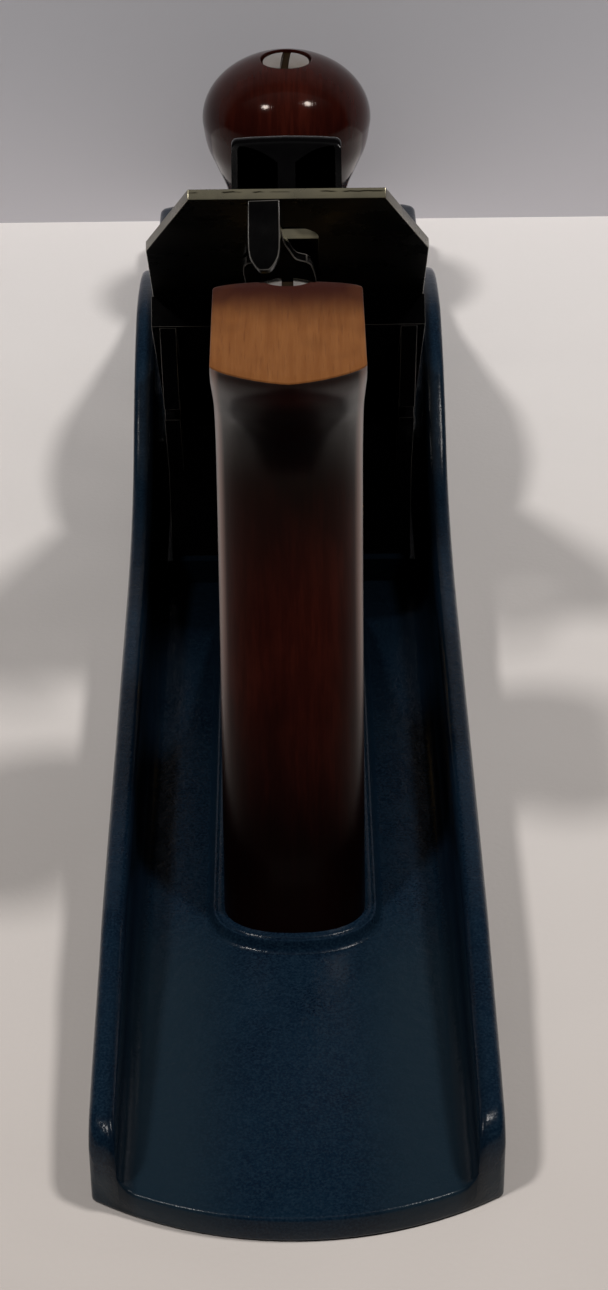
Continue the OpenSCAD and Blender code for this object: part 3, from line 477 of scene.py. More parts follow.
def step_between(tree, value, low, high):
    """0 below low, 1 above high, smooth between."""
    node = tree.nodes.new("ShaderNodeMapRange")
    node.interpolation_type = "SMOOTHSTEP"
    tree.links.new(value, node.inputs["Value"])
    node.inputs["From Min"].default_value = low
    node.inputs["From Max"].default_value = high
    return node.outputs["Result"]


def noise(tree, vector, scale, detail=3.0, rough=0.55, distortion=0.0):
    node = add(tree, "ShaderNodeTexNoise", {
        "Vector": vector, "Scale": scale, "Detail": detail, "Roughness": rough, "Distortion": distortion,
    })
    return node.outputs["Fac"]


def split_place(tree, place):
    """The X, Y and Z of a place."""
    return add(tree, "ShaderNodeSeparateXYZ", {"Vector": place}).outputs


def marks_of(tree, name):
    """The marks that a piece's faces carry under that name."""
    return add(tree, "ShaderNodeAttribute", attribute_name=name).outputs["Fac"]


def stretched(tree, vector, scale):
    node = add(tree, "ShaderNodeMapping", {"Vector": vector, "Scale": scale})
    return node.outputs["Vector"]


def new_group(name, inputs, outputs):
    """An empty shader group with its sockets: (name, kind, default) in, (name, kind) out."""
    group = bpy.data.node_groups.new(name, "ShaderNodeTree")
    for label, kind, value in inputs:
        socket = group.interface.new_socket(name=label, in_out="INPUT", socket_type=kind)
        if value is not None:
            socket.default_value = value
    for label, kind in outputs:
        group.interface.new_socket(name=label, in_out="OUTPUT", socket_type=kind)
    return group, group.nodes.new("NodeGroupInput").outputs, group.nodes.new("NodeGroupOutput").inputs


def cast_skin_group():
    """Orange peel, fine grit and mottling of a thick paint over rough iron, and rare dots for painted glints."""
    group, given, out = new_group(
        "Cast Skin",
        [("Vector", "NodeSocketVector", None), ("Peel Scale", "NodeSocketFloat", 420.0),
         ("Grit Scale", "NodeSocketFloat", 2600.0), ("Mottle Scale", "NodeSocketFloat", 60.0)],
        [("Height", "NodeSocketFloat"), ("Mottle", "NodeSocketFloat"), ("Grit", "NodeSocketFloat"),
         ("Specks", "NodeSocketFloat")],
    )
    peel = noise(group, given["Vector"], given["Peel Scale"], 2.0, 0.45)
    grit = noise(group, given["Vector"], given["Grit Scale"], 2.0, 0.6)
    mottle = noise(group, given["Vector"], given["Mottle Scale"], 5.0, 0.6)
    lumps = add(group, "ShaderNodeTexVoronoi", {"Vector": given["Vector"], "Scale": 95.0, "Randomness": 1.0})
    glint_dots = ramp(group, lumps.outputs["Distance"], [(0.0, 1.0), (0.020, 1.0), (0.034, 0.0)])
    chosen = add(group, "ShaderNodeSeparateColor", {"Color": lumps.outputs["Color"]}).outputs["Red"]
    rare = step_between(group, chosen, 0.90, 0.92)
    group.links.new(math_node(group, "MULTIPLY", glint_dots, rare), out["Specks"])
    height = math_node(group, "MULTIPLY_ADD", grit, 0.40, peel)
    group.links.new(height, out["Height"])
    group.links.new(mottle, out["Mottle"])
    group.links.new(grit, out["Grit"])
    return group


def wood_group():
    """Figure, streaks and pores of a stained hardwood; the grain runs along the vector's Y."""
    group, given, out = new_group(
        "Wood Figure",
        [("Vector", "NodeSocketVector", None)],
        [("Figure", "NodeSocketFloat"), ("Streak", "NodeSocketFloat"), ("Pores", "NodeSocketFloat")],
    )
    broad = noise(group, stretched(group, given["Vector"], (1.0, 0.30, 0.30)), 90.0, 4.0, 0.6, 0.4)
    fine = noise(group, stretched(group, given["Vector"], (1.0, 0.06, 0.09)), 1000.0, 4.0, 0.65)
    pore = noise(group, stretched(group, given["Vector"], (1.0, 0.05, 0.07)), 3200.0, 2.0, 0.5)
    group.links.new(broad, out["Figure"])
    group.links.new(fine, out["Streak"])
    group.links.new(ramp(group, pore, [(0.60, 0.0), (0.72, 1.0)]), out["Pores"])
    return group


def wear_group():
    """Smudges and hair scratches from handling."""
    group, given, out = new_group(
        "Handling",
        [("Vector", "NodeSocketVector", None), ("Scratch Scale", "NodeSocketFloat", 700.0)],
        [("Smudge", "NodeSocketFloat"), ("Scratch", "NodeSocketFloat")],
    )
    group.links.new(noise(group, given["Vector"], 75.0, 5.0, 0.62), out["Smudge"])
    along = stretched(group, given["Vector"], (0.05, 1.0, 1.0))
    lines = noise(group, along, given["Scratch Scale"], 3.0, 0.6)
    group.links.new(ramp(group, lines, [(0.58, 0.0), (0.66, 1.0)]), out["Scratch"])
    return group


def shared_group(name):
    """The shared group of that name, built on its first use."""
    makers = {"Cast Skin": cast_skin_group, "Wood Figure": wood_group, "Handling": wear_group}
    return bpy.data.node_groups.get(name) or makers[name]()


def use_group(tree, name, vector, **values):
    node = tree.nodes.new("ShaderNodeGroup")
    node.node_tree = shared_group(name)
    tree.links.new(vector, node.inputs["Vector"])
    for key, value in values.items():
        node.inputs[key.replace("_", " ")].default_value = value
    return node.outputs


def new_finish(name, **fixed):
    """A material with its Principled shader, its fixed values and the object's coordinates."""
    material = bpy.data.materials.new(f"{name} finish")
    material.use_nodes = True
    tree = material.node_tree
    shader = tree.nodes["Principled BSDF"]
    for key, value in fixed.items():
        shader.inputs[key.replace("_", " ")].default_value = value
    place = tree.nodes.new("ShaderNodeTexCoord").outputs["Object"]
    return material, tree, shader, place


def set_bump(tree, shader, height, distance, strength=1.0):
    bump = add(tree, "ShaderNodeBump", {"Height": height, "Distance": distance, "Strength": strength})
    tree.links.new(bump.outputs["Normal"], shader.inputs["Normal"])


# Finishes


# Zones of the enamel: the distance where a mask is 0 and where it is 1
SHEEN_ASIDE = (0.006, 0.019)
SHEEN_BEHIND = (-0.095, -0.125)
SHEEN_LOW = (0.0075, 0.0055)
WALL_INNER = (0.0240, 0.0262)
WALL_OUTER = (0.0300, 0.0275)
TRAY_SHADE_ASIDE = (0.0300, 0.0285)
TRAY_SHADE_AHEAD = (0.085, 0.070)
TRAY_SHADE_ALONG = (-0.095, 0.022)
# Second colours of the painted pieces
GRIT_BLUE = (0.0095, 0.0230, 0.0400)
# Painted sheen beside the handle
SHEEN_BLUE = (0.0100, 0.0210, 0.0315)
# Painted shade on the walls' inner faces
CHEEK_WALL_SHADE = (0.0009, 0.0016, 0.0036)
# Painted shade on the floor towards the frog
TRAY_FLOOR_SHADE = (0.0009, 0.0016, 0.0026)
# Painted glints on the enamel
GLINT_BLUE = (0.30, 0.34, 0.36)
SMUDGED_BLACK = (0.0034, 0.0032, 0.0032)
# Painted edge highlight, partly wear from rubbing, on the black's bevels
RUBBED_HIGHLIGHT = (0.105, 0.099, 0.092)


def enamel_finish():
    """Thick teal blue enamel: mottled, with orange peel and fine grit, a few painted glints, painted sheen beside
    the handle and painted shade on the walls and towards the frog.
    """
    material, tree, shader, place = new_finish(
        "blue_enamel", Specular_IOR_Level=0.35, Specular_Tint=(0.3, 0.3, 0.3, 1)
    )
    skin = use_group(tree, "Cast Skin", place, Mottle_Scale=110.0)
    mottle = ramp(tree, skin["Mottle"], [(0.30, 0.0), (0.70, 1.0)])
    base = blend(tree, mottle, colours().enamel_deep, colours().enamel)
    grit = ramp(tree, skin["Grit"], [(0.40, 0.0), (0.68, 0.8)])
    base = blend(tree, grit, base, GRIT_BLUE)
    # Painted sheen: the open floor behind the handle is paler on each side
    apart = split_place(tree, place)
    aside = math_node(tree, "ABSOLUTE", apart["X"])
    pale = times(
        tree, step_between(tree, aside, *SHEEN_ASIDE), step_between(tree, apart["Y"], *SHEEN_BEHIND),
        step_between(tree, apart["Z"], *SHEEN_LOW), 0.8,
    )
    base = blend(tree, pale, base, SHEEN_BLUE)
    # Painted shade darkens the walls' inner faces and the floor towards the frog
    walls = times(tree, step_between(tree, aside, *WALL_INNER), step_between(tree, aside, *WALL_OUTER), 0.5)
    base = blend(tree, walls, base, CHEEK_WALL_SHADE)
    # Painted shade on the floor between the walls, towards the frog
    grime = times(
        tree, step_between(tree, aside, *TRAY_SHADE_ASIDE), step_between(tree, apart["Y"], *TRAY_SHADE_AHEAD), 0.88,
        step_between(tree, apart["Y"], *TRAY_SHADE_ALONG),
    )
    base = blend(tree, grime, base, TRAY_FLOOR_SHADE)
    # Rare dots painted bright as glints on the enamel
    base = blend(tree, skin["Specks"], base, GLINT_BLUE)
    tree.links.new(base, shader.inputs["Base Color"])
    rough = ramp(tree, skin["Mottle"], [(0.3, 0.13), (0.7, 0.24)])
    tree.links.new(rough, shader.inputs["Roughness"])
    set_bump(tree, shader, skin["Height"], 0.00009)
    return material


def japan_finish():
    """Glossy black japanning with a faint peel and smudges."""
    material, tree, shader, place = new_finish(
        "black_japan", Specular_IOR_Level=0.2, Specular_Tint=(0.35, 0.35, 0.35, 1)
    )
    skin = use_group(tree, "Cast Skin", place, Peel_Scale=260.0)
    wear = use_group(tree, "Handling", place)
    smudge = ramp(tree, wear["Smudge"], [(0.45, 0.0), (0.75, 0.6)])
    base = blend(tree, smudge, colours().japan, SMUDGED_BLACK)
    # The bevels that soften marks are painted lighter: partly wear from rubbing, partly painted edge highlight
    edge = times(tree, marks_of(tree, "rubbed"), ramp(tree, wear["Smudge"], [(0.35, 0.3), (0.60, 1.0)]))
    base = blend(tree, edge, base, RUBBED_HIGHLIGHT)
    tree.links.new(base, shader.inputs["Base Color"])
    tree.links.new(ramp(tree, wear["Smudge"], [(0.3, 0.10), (0.7, 0.20)]), shader.inputs["Roughness"])
    set_bump(tree, shader, skin["Height"], 0.00003)
    return material


# Zones of the rear handle, by height or along the plane
BAND_FROM = (0.026, 0.060)
BAND_TO = (0.096, 0.066)
UNDER_TOP = (0.098, 0.105)
HANDLE_ONLY = (0.05, 0.0)
NEAR_NUT = (-0.084, -0.070)
CORNER_RISE = (0.030, 0.062)
# How far in from the handle's side its painted sheen strip starts and is full, and where it ends
CORNER_IN = (0.0016, 0.0005)
CORNER_OUT = 0.0003
# How far under the handle's flat the bare wood starts and is full
BARE_FROM, BARE_FULL = 0.00045, 0.00025
# Second colours of the wood
# Darker colour of the handle's foot and of the part under its top
HANDLE_DARK_ENDS = (0.0012, 0.0004, 0.0005)
# Painted sheen on the handle's corners
CORNER_SHEEN = (0.30, 0.19, 0.16)
RAW_PALE = (0.27, 0.112, 0.036)
RAW_PORE = (0.10, 0.030, 0.009)
RAW_STAIN = (0.11, 0.036, 0.010)
HANDLE_GLOSS = (0.30, 0.30, 0.30)
BARE_GLOSS = (0.62, 0.62, 0.62)


def wood_finish():
    """Dark red brown lacquer over figured wood, with painted sheen along the rear handle's upright corners, bare
    on its flat top.
    """
    material, tree, shader, place = new_finish(
        "lacquered_wood", Specular_IOR_Level=0.3, Specular_Tint=(0.25, 0.22, 0.20, 1)
    )
    grain = use_group(tree, "Wood Figure", place)
    wear = use_group(tree, "Handling", place)
    apart = split_place(tree, place)
    figure = ramp(tree, grain["Figure"], [(0.30, 0.1), (0.70, 1.0)])
    base = blend(tree, figure, colours().wood_deep, colours().wood)
    base = blend(tree, ramp(tree, grain["Streak"], [(0.42, 0.5), (0.60, 0.0)]), base, colours().wood_deep)
    # The handle is darker towards its foot and just under its top
    level = math_node(tree, "MULTIPLY_ADD", grain["Figure"], 0.012, apart["Z"])
    mid_band = times(tree, step_between(tree, level, *BAND_FROM), step_between(tree, level, *BAND_TO))
    handle = step_between(tree, apart["Y"], *HANDLE_ONLY)
    under_top = math_node(tree, "MULTIPLY_ADD", step_between(tree, apart["Z"], *UNDER_TOP), -0.35, 0.93)
    dark = times(tree, handle, math_node(tree, "SUBTRACT", 1.0, mid_band), under_top)
    base = blend(tree, dark, base, HANDLE_DARK_ENDS)
    # Painted sheen: pale strips along the handle's upright corners
    aside = math_node(tree, "ABSOLUTE", apart["X"])
    side = TOTE_HI.x
    corner = times(
        tree, step_between(tree, aside, side - CORNER_IN[0], side - CORNER_IN[1]),
        step_between(tree, aside, side, side - CORNER_OUT), step_between(tree, apart["Z"], *CORNER_RISE),
        handle, 0.6,
    )
    base = blend(tree, corner, base, CORNER_SHEEN)
    pale = ramp(tree, grain["Streak"], [(0.40, 0.0), (0.66, 0.55)])
    raw = blend(tree, pale, colours().raw_wood, RAW_PALE)
    raw = blend(tree, ramp(tree, grain["Pores"], [(0.0, 0.0), (1.0, 0.35)]), raw, RAW_PORE)
    wavering = math_node(tree, "MULTIPLY_ADD", grain["Figure"], 0.010, apart["Y"])
    raw = blend(tree, step_between(tree, wavering, *NEAR_NUT), raw, colours().raw_red)
    stain = ramp(tree, noise(tree, place, 60.0, 2.0), [(0.56, 0.0), (0.70, 0.5)])
    raw = blend(tree, stain, raw, RAW_STAIN)
    bare = step_between(tree, apart["Z"], TOTE_HI.z - BARE_FROM, TOTE_HI.z - BARE_FULL)
    tree.links.new(blend(tree, bare, base, raw), shader.inputs["Base Color"])
    gloss = ramp(tree, wear["Smudge"], [(0.3, 0.07), (0.7, 0.15)])
    gloss = blend(tree, handle, gloss, HANDLE_GLOSS)
    tree.links.new(blend(tree, bare, gloss, BARE_GLOSS), shader.inputs["Roughness"])
    height = math_node(tree, "MULTIPLY_ADD", grain["Pores"], -0.4, grain["Streak"])
    height = times(tree, height, math_node(tree, "MULTIPLY_ADD", bare, 0.8, 0.2))
    set_bump(tree, shader, height, 0.00006)
    return material


# The cutter's struck end: the nicks' height out of the bed, half widths and place up the bed
NICK_OUT = 0.00135
NICK_HALF = (0.00006, 0.00018)
NICK_TOP = (0.1495, 0.1497)
# How squarely a face has to lie on the bed to carry the patina
PATINA_FACING = (0.90, 0.985)
# Second colours of the metals
NICK_DARK = (0.02, 0.017, 0.010)
PATINA = (0.0085, 0.0076, 0.0064)
PATINA_PALE = (0.0145, 0.0123, 0.0090)
SLOT_GRIME = (0.030, 0.018, 0.008)
GRIME_ROUGH = (0.8, 0.8, 0.8)


def struck_steel(tree, place, smudge, base):
    """Adds dark nicks along the cutter's struck top end, and the patina of its flat faces."""
    apart = split_place(tree, place)
    across = add(tree, "ShaderNodeCombineXYZ", {"X": apart["X"]}).outputs["Vector"]
    wobble = math_node(tree, "MULTIPLY_ADD", noise(tree, across, 260.0, 3.0), 0.0006, -0.0003)
    out = math_node(tree, "ADD", math_node(tree, "ADD", apart["Y"], apart["Z"]), -MOUTH_Y)
    out = times(tree, out, SQUARE_HALF)
    line_at = math_node(tree, "ADD", wobble, NICK_OUT)
    off = math_node(tree, "ABSOLUTE", math_node(tree, "SUBTRACT", out, line_at))
    line = math_node(tree, "SUBTRACT", 1.0, step_between(tree, off, *NICK_HALF))
    broken = step_between(tree, noise(tree, across, 120.0, 2.0), 0.47, 0.53)
    top = step_between(tree, math_node(tree, "SUBTRACT", apart["Z"], apart["Y"]), *NICK_TOP)
    base = blend(tree, times(tree, line, broken, top), base, NICK_DARK)
    facing = tree.nodes.new("ShaderNodeTexCoord").outputs["Normal"]
    slope = add(
        tree, "ShaderNodeVectorMath", {0: facing, 1: (0.0, SQUARE_HALF, SQUARE_HALF)}, operation="DOT_PRODUCT"
    ).outputs["Value"]
    flat = step_between(tree, math_node(tree, "ABSOLUTE", slope), *PATINA_FACING)
    patina = blend(tree, ramp(tree, smudge, [(0.42, 0.0), (0.70, 1.0)]), PATINA, PATINA_PALE)
    return blend(tree, flat, base, patina)


def metal_finish(name, base_colour, dull_colour, rough_low, rough_high, scratch=0.25, struck=False):
    """Worn metal: scratched, smudged, and dulled in patches."""
    material, tree, shader, place = new_finish(name, Metallic=1.0)
    wear = use_group(tree, "Handling", place)
    base = blend(tree, ramp(tree, wear["Smudge"], [(0.42, 0.0), (0.72, 0.8)]), base_colour, dull_colour)
    base = blend(tree, ramp(tree, wear["Scratch"], [(0.0, 0.0), (1.0, scratch)]), base, dull_colour)
    if struck:
        base = struck_steel(tree, place, wear["Smudge"], base)
    grime = marks_of(tree, "grime")
    base = blend(tree, grime, base, SLOT_GRIME)
    tree.links.new(base, shader.inputs["Base Color"])
    rough = ramp(tree, wear["Smudge"], [(0.3, rough_low), (0.7, rough_high)])
    tree.links.new(blend(tree, grime, rough, GRIME_ROUGH), shader.inputs["Roughness"])
    set_bump(tree, shader, wear["Scratch"], 0.000008)
    return material


def steel_finish():
    return metal_finish("dark_steel", colours().steel, (0.11, 0.097, 0.062), 0.22, 0.36, struck=True)


def bright_finish():
    return metal_finish("bright_steel", colours().bright_steel, (0.30, 0.285, 0.25), 0.26, 0.42)


def nickel_finish():
    return metal_finish("nickel_plate", colours().nickel, (0.46, 0.41, 0.33), 0.09, 0.22, 0.45)


def brass_finish():
    return metal_finish("wheel_brass", colours().brass, (0.30, 0.19, 0.07), 0.24, 0.42)


FINISHES = {
    "blue_enamel": enamel_finish, "black_japan": japan_finish, "lacquered_wood": wood_finish,
    "dark_steel": steel_finish, "bright_steel": bright_finish, "nickel_plate": nickel_finish,
    "wheel_brass": brass_finish,
}


def finish(name):
    """The finish of that name, built on its first use."""
    return bpy.data.materials.get(f"{name} finish") or FINISHES[name]()


def place_piece(piece, body, slot, *nodes):
    """Gives a piece the finish of its slot and its body, and hides the CAD nodes that it stands for."""
    piece.data.materials.clear()
    piece.data.materials.append(finish(slot))
    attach(piece, body)
    if nodes:
        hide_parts(*nodes)


# The casting

CHEEK_LINE = [
    (-0.1684, 0.0150), (-0.1629, 0.0152), (-0.1524, 0.0165), (-0.1304, 0.0182), (-0.1183, 0.0194),
    (-0.0763, 0.0197), (-0.0273, 0.0200), (-0.0113, 0.0210), (0.0007, 0.0234), (0.0107, 0.0273),
    (0.0232, 0.0362), (0.0317, 0.0413), (0.0397, 0.0445), (0.0482, 0.0465), (0.0597, 0.0456),
    (0.0717, 0.0425), (0.0867, 0.0350), (0.1027, 0.0276), (0.1207, 0.0200), (0.1444, 0.0164),
    (0.1604, 0.0152), (0.1684, 0.0150),
]
CHEEK_T = 0.0042
END_BOW = 0.0094
END_BLEND = 0.040
END_RADIUS = (HALF_W ** 2 + END_BOW ** 2) / (2 * END_BOW)
# Where its sections lie: distances from each end, then even steps between
END_PLACES = [0.0, 0.00009, 0.00035, 0.0007, 0.0012, 0.0019, 0.0028, 0.0039, 0.0052, 0.0067, 0.0084, 0.0106]
FIRST_STEP, LAST_GAP, STEP = 0.0135, 0.012, 0.0027
# The raised seats: growth or radius in millimetres, and the share of the seat's rise there
HANDLE_SEAT = [
    (3.3, -0.6), (3.15, 0.02), (2.75, 0.10), (2.40, 0.32), (2.15, 0.62), (1.85, 0.86), (1.55, 0.90),
    (1.40, 0.86), (1.25, 0.93), (1.0, 1.0), (0.4, 1.0),
]
KNOB_SEAT = [
    (0.0, -0.6), (19.6, -0.6), (19.2, 0.02), (18.6, 0.10), (18.1, 0.32), (17.7, 0.65), (17.3, 0.90),
    (16.8, 1.0), (0.0, 1.0),
]
FROG_SEAT_L, FROG_SEAT_H = 0.0647, 0.010
# How far in from the frog's sides its seat ends, so that it doesn't show beside the frog
FROG_SEAT_IN = 0.0006
LUG_Y, LUG_Z, LUG_HALF_W = (0.0155, 0.0245), (0.009, 0.0189), 0.005
MOUTH_GAP = 0.0046
MOUTH_HALF_W = 0.027
PAD_RISE, PAD_HALF_W = 0.0034, 0.0272
PAD_FLAT, PAD_END = 0.011, 0.015
# Height of the mouth's upright front lip, and how far ahead its slope ends
LIP_H, SLOPE_L = 0.0014, 0.007
OVER_FLOOR = 0.0036


def bow(x):
    """How far an end's curve lies in from its middle at x across the sole."""
    return END_RADIUS - math.sqrt(END_RADIUS ** 2 - x ** 2)


class PLANE_OT_casting(bpy.types.Operator):
    """Models the sole with its cheeks, handle seats, mouth and frog seat"""

    bl_idname = "plane.casting"
    bl_label = "Sole casting"

    def section(self, along, heights):
        """One section across the casting: its underside, cheeks and tray."""
        s = sizes()
        near = min(along, 2 * HALF_L - along)
        side = -1 if along < HALF_L else 1
        angle = math.acos(max(0.0, 1 - near / s.end_round))
        inset = s.end_round * (1 - math.sin(angle))
        share = max(0.0, 1 - near / END_BLEND)

        def y_at(x):
            return side * (HALF_L - near - bow(x) * share)

        corner = HALF_L - END_BOW - abs(y_at(HALF_W))
        top = between(y_at(HALF_W), heights)
        if corner < s.corner_round:
            over = (s.corner_round - max(corner, 0.0)) / s.corner_round
            top -= s.corner_round * (1 - math.sqrt(max(0.0, 1 - over * over)))
        half_w = HALF_W - inset
        inner = HALF_W - CHEEK_T
        rim, fillet = s.rim_round, s.tray_fillet
        upper = []
        for k in range(6):
            a = math.radians(90 * k / 5)
            upper.append((HALF_W - rim * (1 - math.cos(a)), top - rim * (1 - math.sin(a))))
        for k in range(6):
            a = math.radians(90 * k / 5)
            upper.append((inner + rim * (1 - math.sin(a)), top - rim * (1 - math.cos(a))))
        for k in range(7):
            a = math.radians(90 * k / 6)
            upper.append((inner - fillet * (1 - math.cos(a)), FLOOR_Z + fillet * (1 - math.sin(a))))
        for k in range(1, 9):
            upper.append(((inner - fillet) * (1 - k / 8), FLOOR_Z))
        lower = [(HALF_W, 0.0005), (HALF_W - 0.00015, 0.00015), (HALF_W - 0.0005, 0.0)]
        lower += [(min(x, HALF_W - 0.0005) - 0.00002 * i, 0.0) for i, (x, z) in enumerate(upper[3:-1])]
        lower.append((0.0, 0.0))
        ring = []
        for x, z in lower[:0:-1] + lower[:1]:
            ring.append((min(x, half_w), y_at(min(x, half_w)), z + inset))
        for x, z in upper:
            ring.append((min(x, half_w), y_at(min(x, half_w)), z - inset))
        mirror = [(-x, y, z) for x, y, z in ring[1:-1]]
        return ring + mirror[::-1]

    def execute(self, context):
        heights = curve(CHEEK_LINE, 6)
        middle = []
        place = FIRST_STEP
        while place < 2 * HALF_L - LAST_GAP:
            middle.append(place)
            place += STEP
        places = END_PLACES + middle + [2 * HALF_L - e for e in reversed(END_PLACES)]
        casting = pull_rings("casting", [self.section(p, heights) for p in places], cap=False)
        self.close_end(casting, -1)
        self.close_end(casting, 1)
        finish_skin(casting)
        self.add_seats(casting)
        self.cut_mouth(casting)
        finish_skin(casting, 38)
        place_piece(casting, "plane", "blue_enamel", "sole_casting")
        return {"FINISHED"}

    def close_end(self, casting, side):
        """Fills an end between its underside edge and its upper edge, strip by strip."""
        mesh = edit(casting)
        rim = [v for v in mesh.verts if v.is_boundary and v.co.y * side > 0]
        start = min(rim, key=lambda v: (abs(v.co.x), v.co.z))
        loop = [start]
        while len(loop) < len(rim):
            steps = [e.other_vert(loop[-1]) for e in loop[-1].link_edges if e.is_boundary]
            loop.append(next(v for v in steps if v not in loop))
        count = len(loop)
        half = count // 2
        for i in range(half):
            four = [loop[i], loop[(i + 1) % count], loop[(half - i - 1) % count], loop[half - i]]
            opposite = [loop[-i % count], loop[-i - 1], loop[half + i + 1 - count], loop[(half + i) % count]]
            for corners in (four, opposite) if i < count // 4 else ():
                unique = list(dict.fromkeys(corners))
                if len(unique) > 2 and not mesh.faces.get(unique):
                    mesh.faces.new(unique)
        bmesh.update_edit_mesh(casting.data)
        close_edit()

    def add_seats(self, casting):
        """Joins on the raised seats of the handle, the knob and the frog, and the pad ahead of the mouth."""
        rise = SEAT_Z - FLOOR_Z
        foot = HANDLE_STATIONS[0]
        rings = [handle_ring(*foot[1:], FLOOR_Z + rise * up, grow * MM) for grow, up in HANDLE_SEAT]
        carve(casting, pull_rings("handle_seat", rings), "UNION")
        outline = [(r * MM, FLOOR_Z + rise * up) for r, up in KNOB_SEAT]
        carve(casting, turned("knob_seat", outline, sizes().turning_steps, (0, KNOB_Y, 0)), "UNION")
        back = MOUTH_Y - FROG_SEAT_L
        seat = [
            (back, 0.001), (MOUTH_Y - 0.001, 0.001), (MOUTH_Y - FROG_SEAT_H, FROG_SEAT_H),
            (back, FROG_SEAT_H),
        ]
        frog_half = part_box("frog")[1].x - FROG_SEAT_IN
        carve(casting, prism("frog_seat", seat, -frog_half, frog_half), "UNION")
        lug = [(LUG_Y[0], LUG_Z[0]), (LUG_Y[1], LUG_Z[0]), (LUG_Y[1], LUG_Z[1]), (LUG_Y[0], LUG_Z[1])]
        carve(casting, prism("lug", lug, -LUG_HALF_W, LUG_HALF_W), "UNION")
        front = MOUTH_Y + MOUTH_GAP
        top = FLOOR_Z + PAD_RISE
        pad = [
            (front - 0.001, 0.001), (front - 0.001, top), (front + PAD_FLAT, top),
            (front + PAD_END, FLOOR_Z - 0.0005), (front + PAD_END, 0.001),
        ]
        carve(casting, prism("mouth_pad", pad, -PAD_HALF_W, PAD_HALF_W), "UNION")

    def cut_mouth(self, casting):
        """Cuts the mouth: open along the bed behind, sloped ahead."""
        front = MOUTH_Y + MOUTH_GAP
        mouth = [
            (MOUTH_Y + 0.001, -0.001), (front, -0.001), (front, LIP_H),
            (front + SLOPE_L, FLOOR_Z + OVER_FLOOR), (MOUTH_Y - FLOOR_Z - OVER_FLOOR, FLOOR_Z + OVER_FLOOR),
        ]
        carve(casting, prism("mouth", mouth, -MOUTH_HALF_W, MOUTH_HALF_W))


# The rear handle

# Height over the foot, back, front, depth of the back's and the front's rounding in millimetres,
# and how square the back is
HANDLE_STATIONS = [
    (0, 0, 106.5, 8, 10, 2.3), (4, 1.6, 105.5, 8, 10, 2.3), (7.5, 3, 100, 8.2, 10, 2.3),
    (10, 3.8, 91.5, 8.4, 10, 2.3), (13, 4.8, 80, 8.6, 10, 2.3), (18, 6.8, 66.5, 9, 10, 2.3),
    (25, 9.6, 56, 9, 9.6, 2.3), (33, 12.6, 50.2, 9, 9.2, 2.3), (43, 16.4, 46.7, 9, 9, 2.3),
    (55, 20.6, 46, 9, 9, 2.3), (67, 23.6, 48, 9, 9, 2.3), (76, 24.4, 50.8, 9, 9, 2.3),
    (85, 21, 52.3, 8.4, 8.4, 2.2), (92, 13.9, 51.5, 7.4, 6.6, 2.0), (97, 8.4, 48.4, 6.6, 4.4, 1.7),
    (100, 6, 44.4, 6.2, 3.2, 1.5), (102, 5.5, 40.4, 6, 2.6, 1.4),
]
HANDLE_LEAN = math.radians(16)
# Width of the broken edge round its flat top
HANDLE_EDGE = 0.0003
# How far ahead of its rear end the bolt's leaning line meets the sole
BOLT_AHEAD = 0.0135
NUT_RADIUS = 0.00565
NUT_SLOT_W = 0.0019
NUT_SLOT_FLOOR = 0.0010
NUT_DOME_R = 0.014
# Room between a nut and the wood round it, and the radius of the bore under it
NUT_ROOM = 0.0002
BORE_R = 0.0044


def squared(value, power):
    return math.copysign(abs(value) ** power, value)


def handle_ring(back, front, back_depth, front_depth, back_power, z, grow=0.0):
    """A level ring of the rear handle; back, front and depths in millimetres from the foot's rear end."""
    half = TOTE_HI.x + grow
    ring = []
    for tip, depth, power, sign in ((back, back_depth, back_power, 1), (front, front_depth, 2.2, -1)):
        tip_y = TOTE_LO.y + tip * MM - sign * grow
        end = []
        for k in range(17):
            a = math.radians(180 * k / 16)
            x = -half * squared(math.cos(a), 2 / power)
            y = tip_y + sign * (depth * MM + grow) * (1 - squared(math.sin(a), 2 / power))
            end.append((x, y, z))
        end = end if sign > 0 else end[::-1]
        if ring:
            ring += side_points(ring[-1], end[0], 6)
        ring += end
    return ring + side_points(ring[-1], ring[0], 6)


def side_points(a, b, count):
    """Points spaced between two others, without them."""
    return [tuple(p + (q - p) * k / (count + 1) for p, q in zip(a, b)) for k in range(1, count + 1)]


def handle_axis(z):
    """The centre of the rear handle's leaning bolt at a height."""
    return Vector((0, TOTE_LO.y + BOLT_AHEAD + z * math.tan(HANDLE_LEAN), z))


def nut_outline():
    """Half outline of a round nut: a short barrel under a domed head with a soft rim."""
    centre = NUT_HEAD - NUT_DOME_R
    dome = [(r, centre + math.sqrt(NUT_DOME_R ** 2 - r ** 2)) for r in (0.0, 0.0016, 0.0030, 0.0042, 0.0050)]
    rim = [(0.0054, 0.00125), (NUT_RADIUS, 0.0010), (NUT_RADIUS, 0.0001), (0.0055, -0.0001)]
    barrel = [(0.0042, -0.0001), (0.0042, -0.0120), (0.0, -0.0120)]
    return dome + rim + barrel


def slotted_nut(name, seat, turn, lean):
    """One slotted nut with its head on seat, its slot turned, and its axis leaning forward."""
    nut = turned(name, nut_outline(), 64)
    half, floor = NUT_SLOT_W / 2, NUT_SLOT_FLOOR
    slot = prism("slot", [(-0.007, floor), (0.007, floor), (0.007, 0.004), (-0.007, 0.004)], -half, half)
    carve(nut, slot)
    soften(nut, 0.00012, 2, 40)
    mark_grime(nut, lambda spot: abs(spot.x) < half - 0.00008 and spot.z > floor - 0.0001)
    nut.rotation_euler = (-lean, 0, turn)
    nut.location = seat
    pick(nut)
    bpy.ops.object.transform_apply(location=True, rotation=True)
    return nut


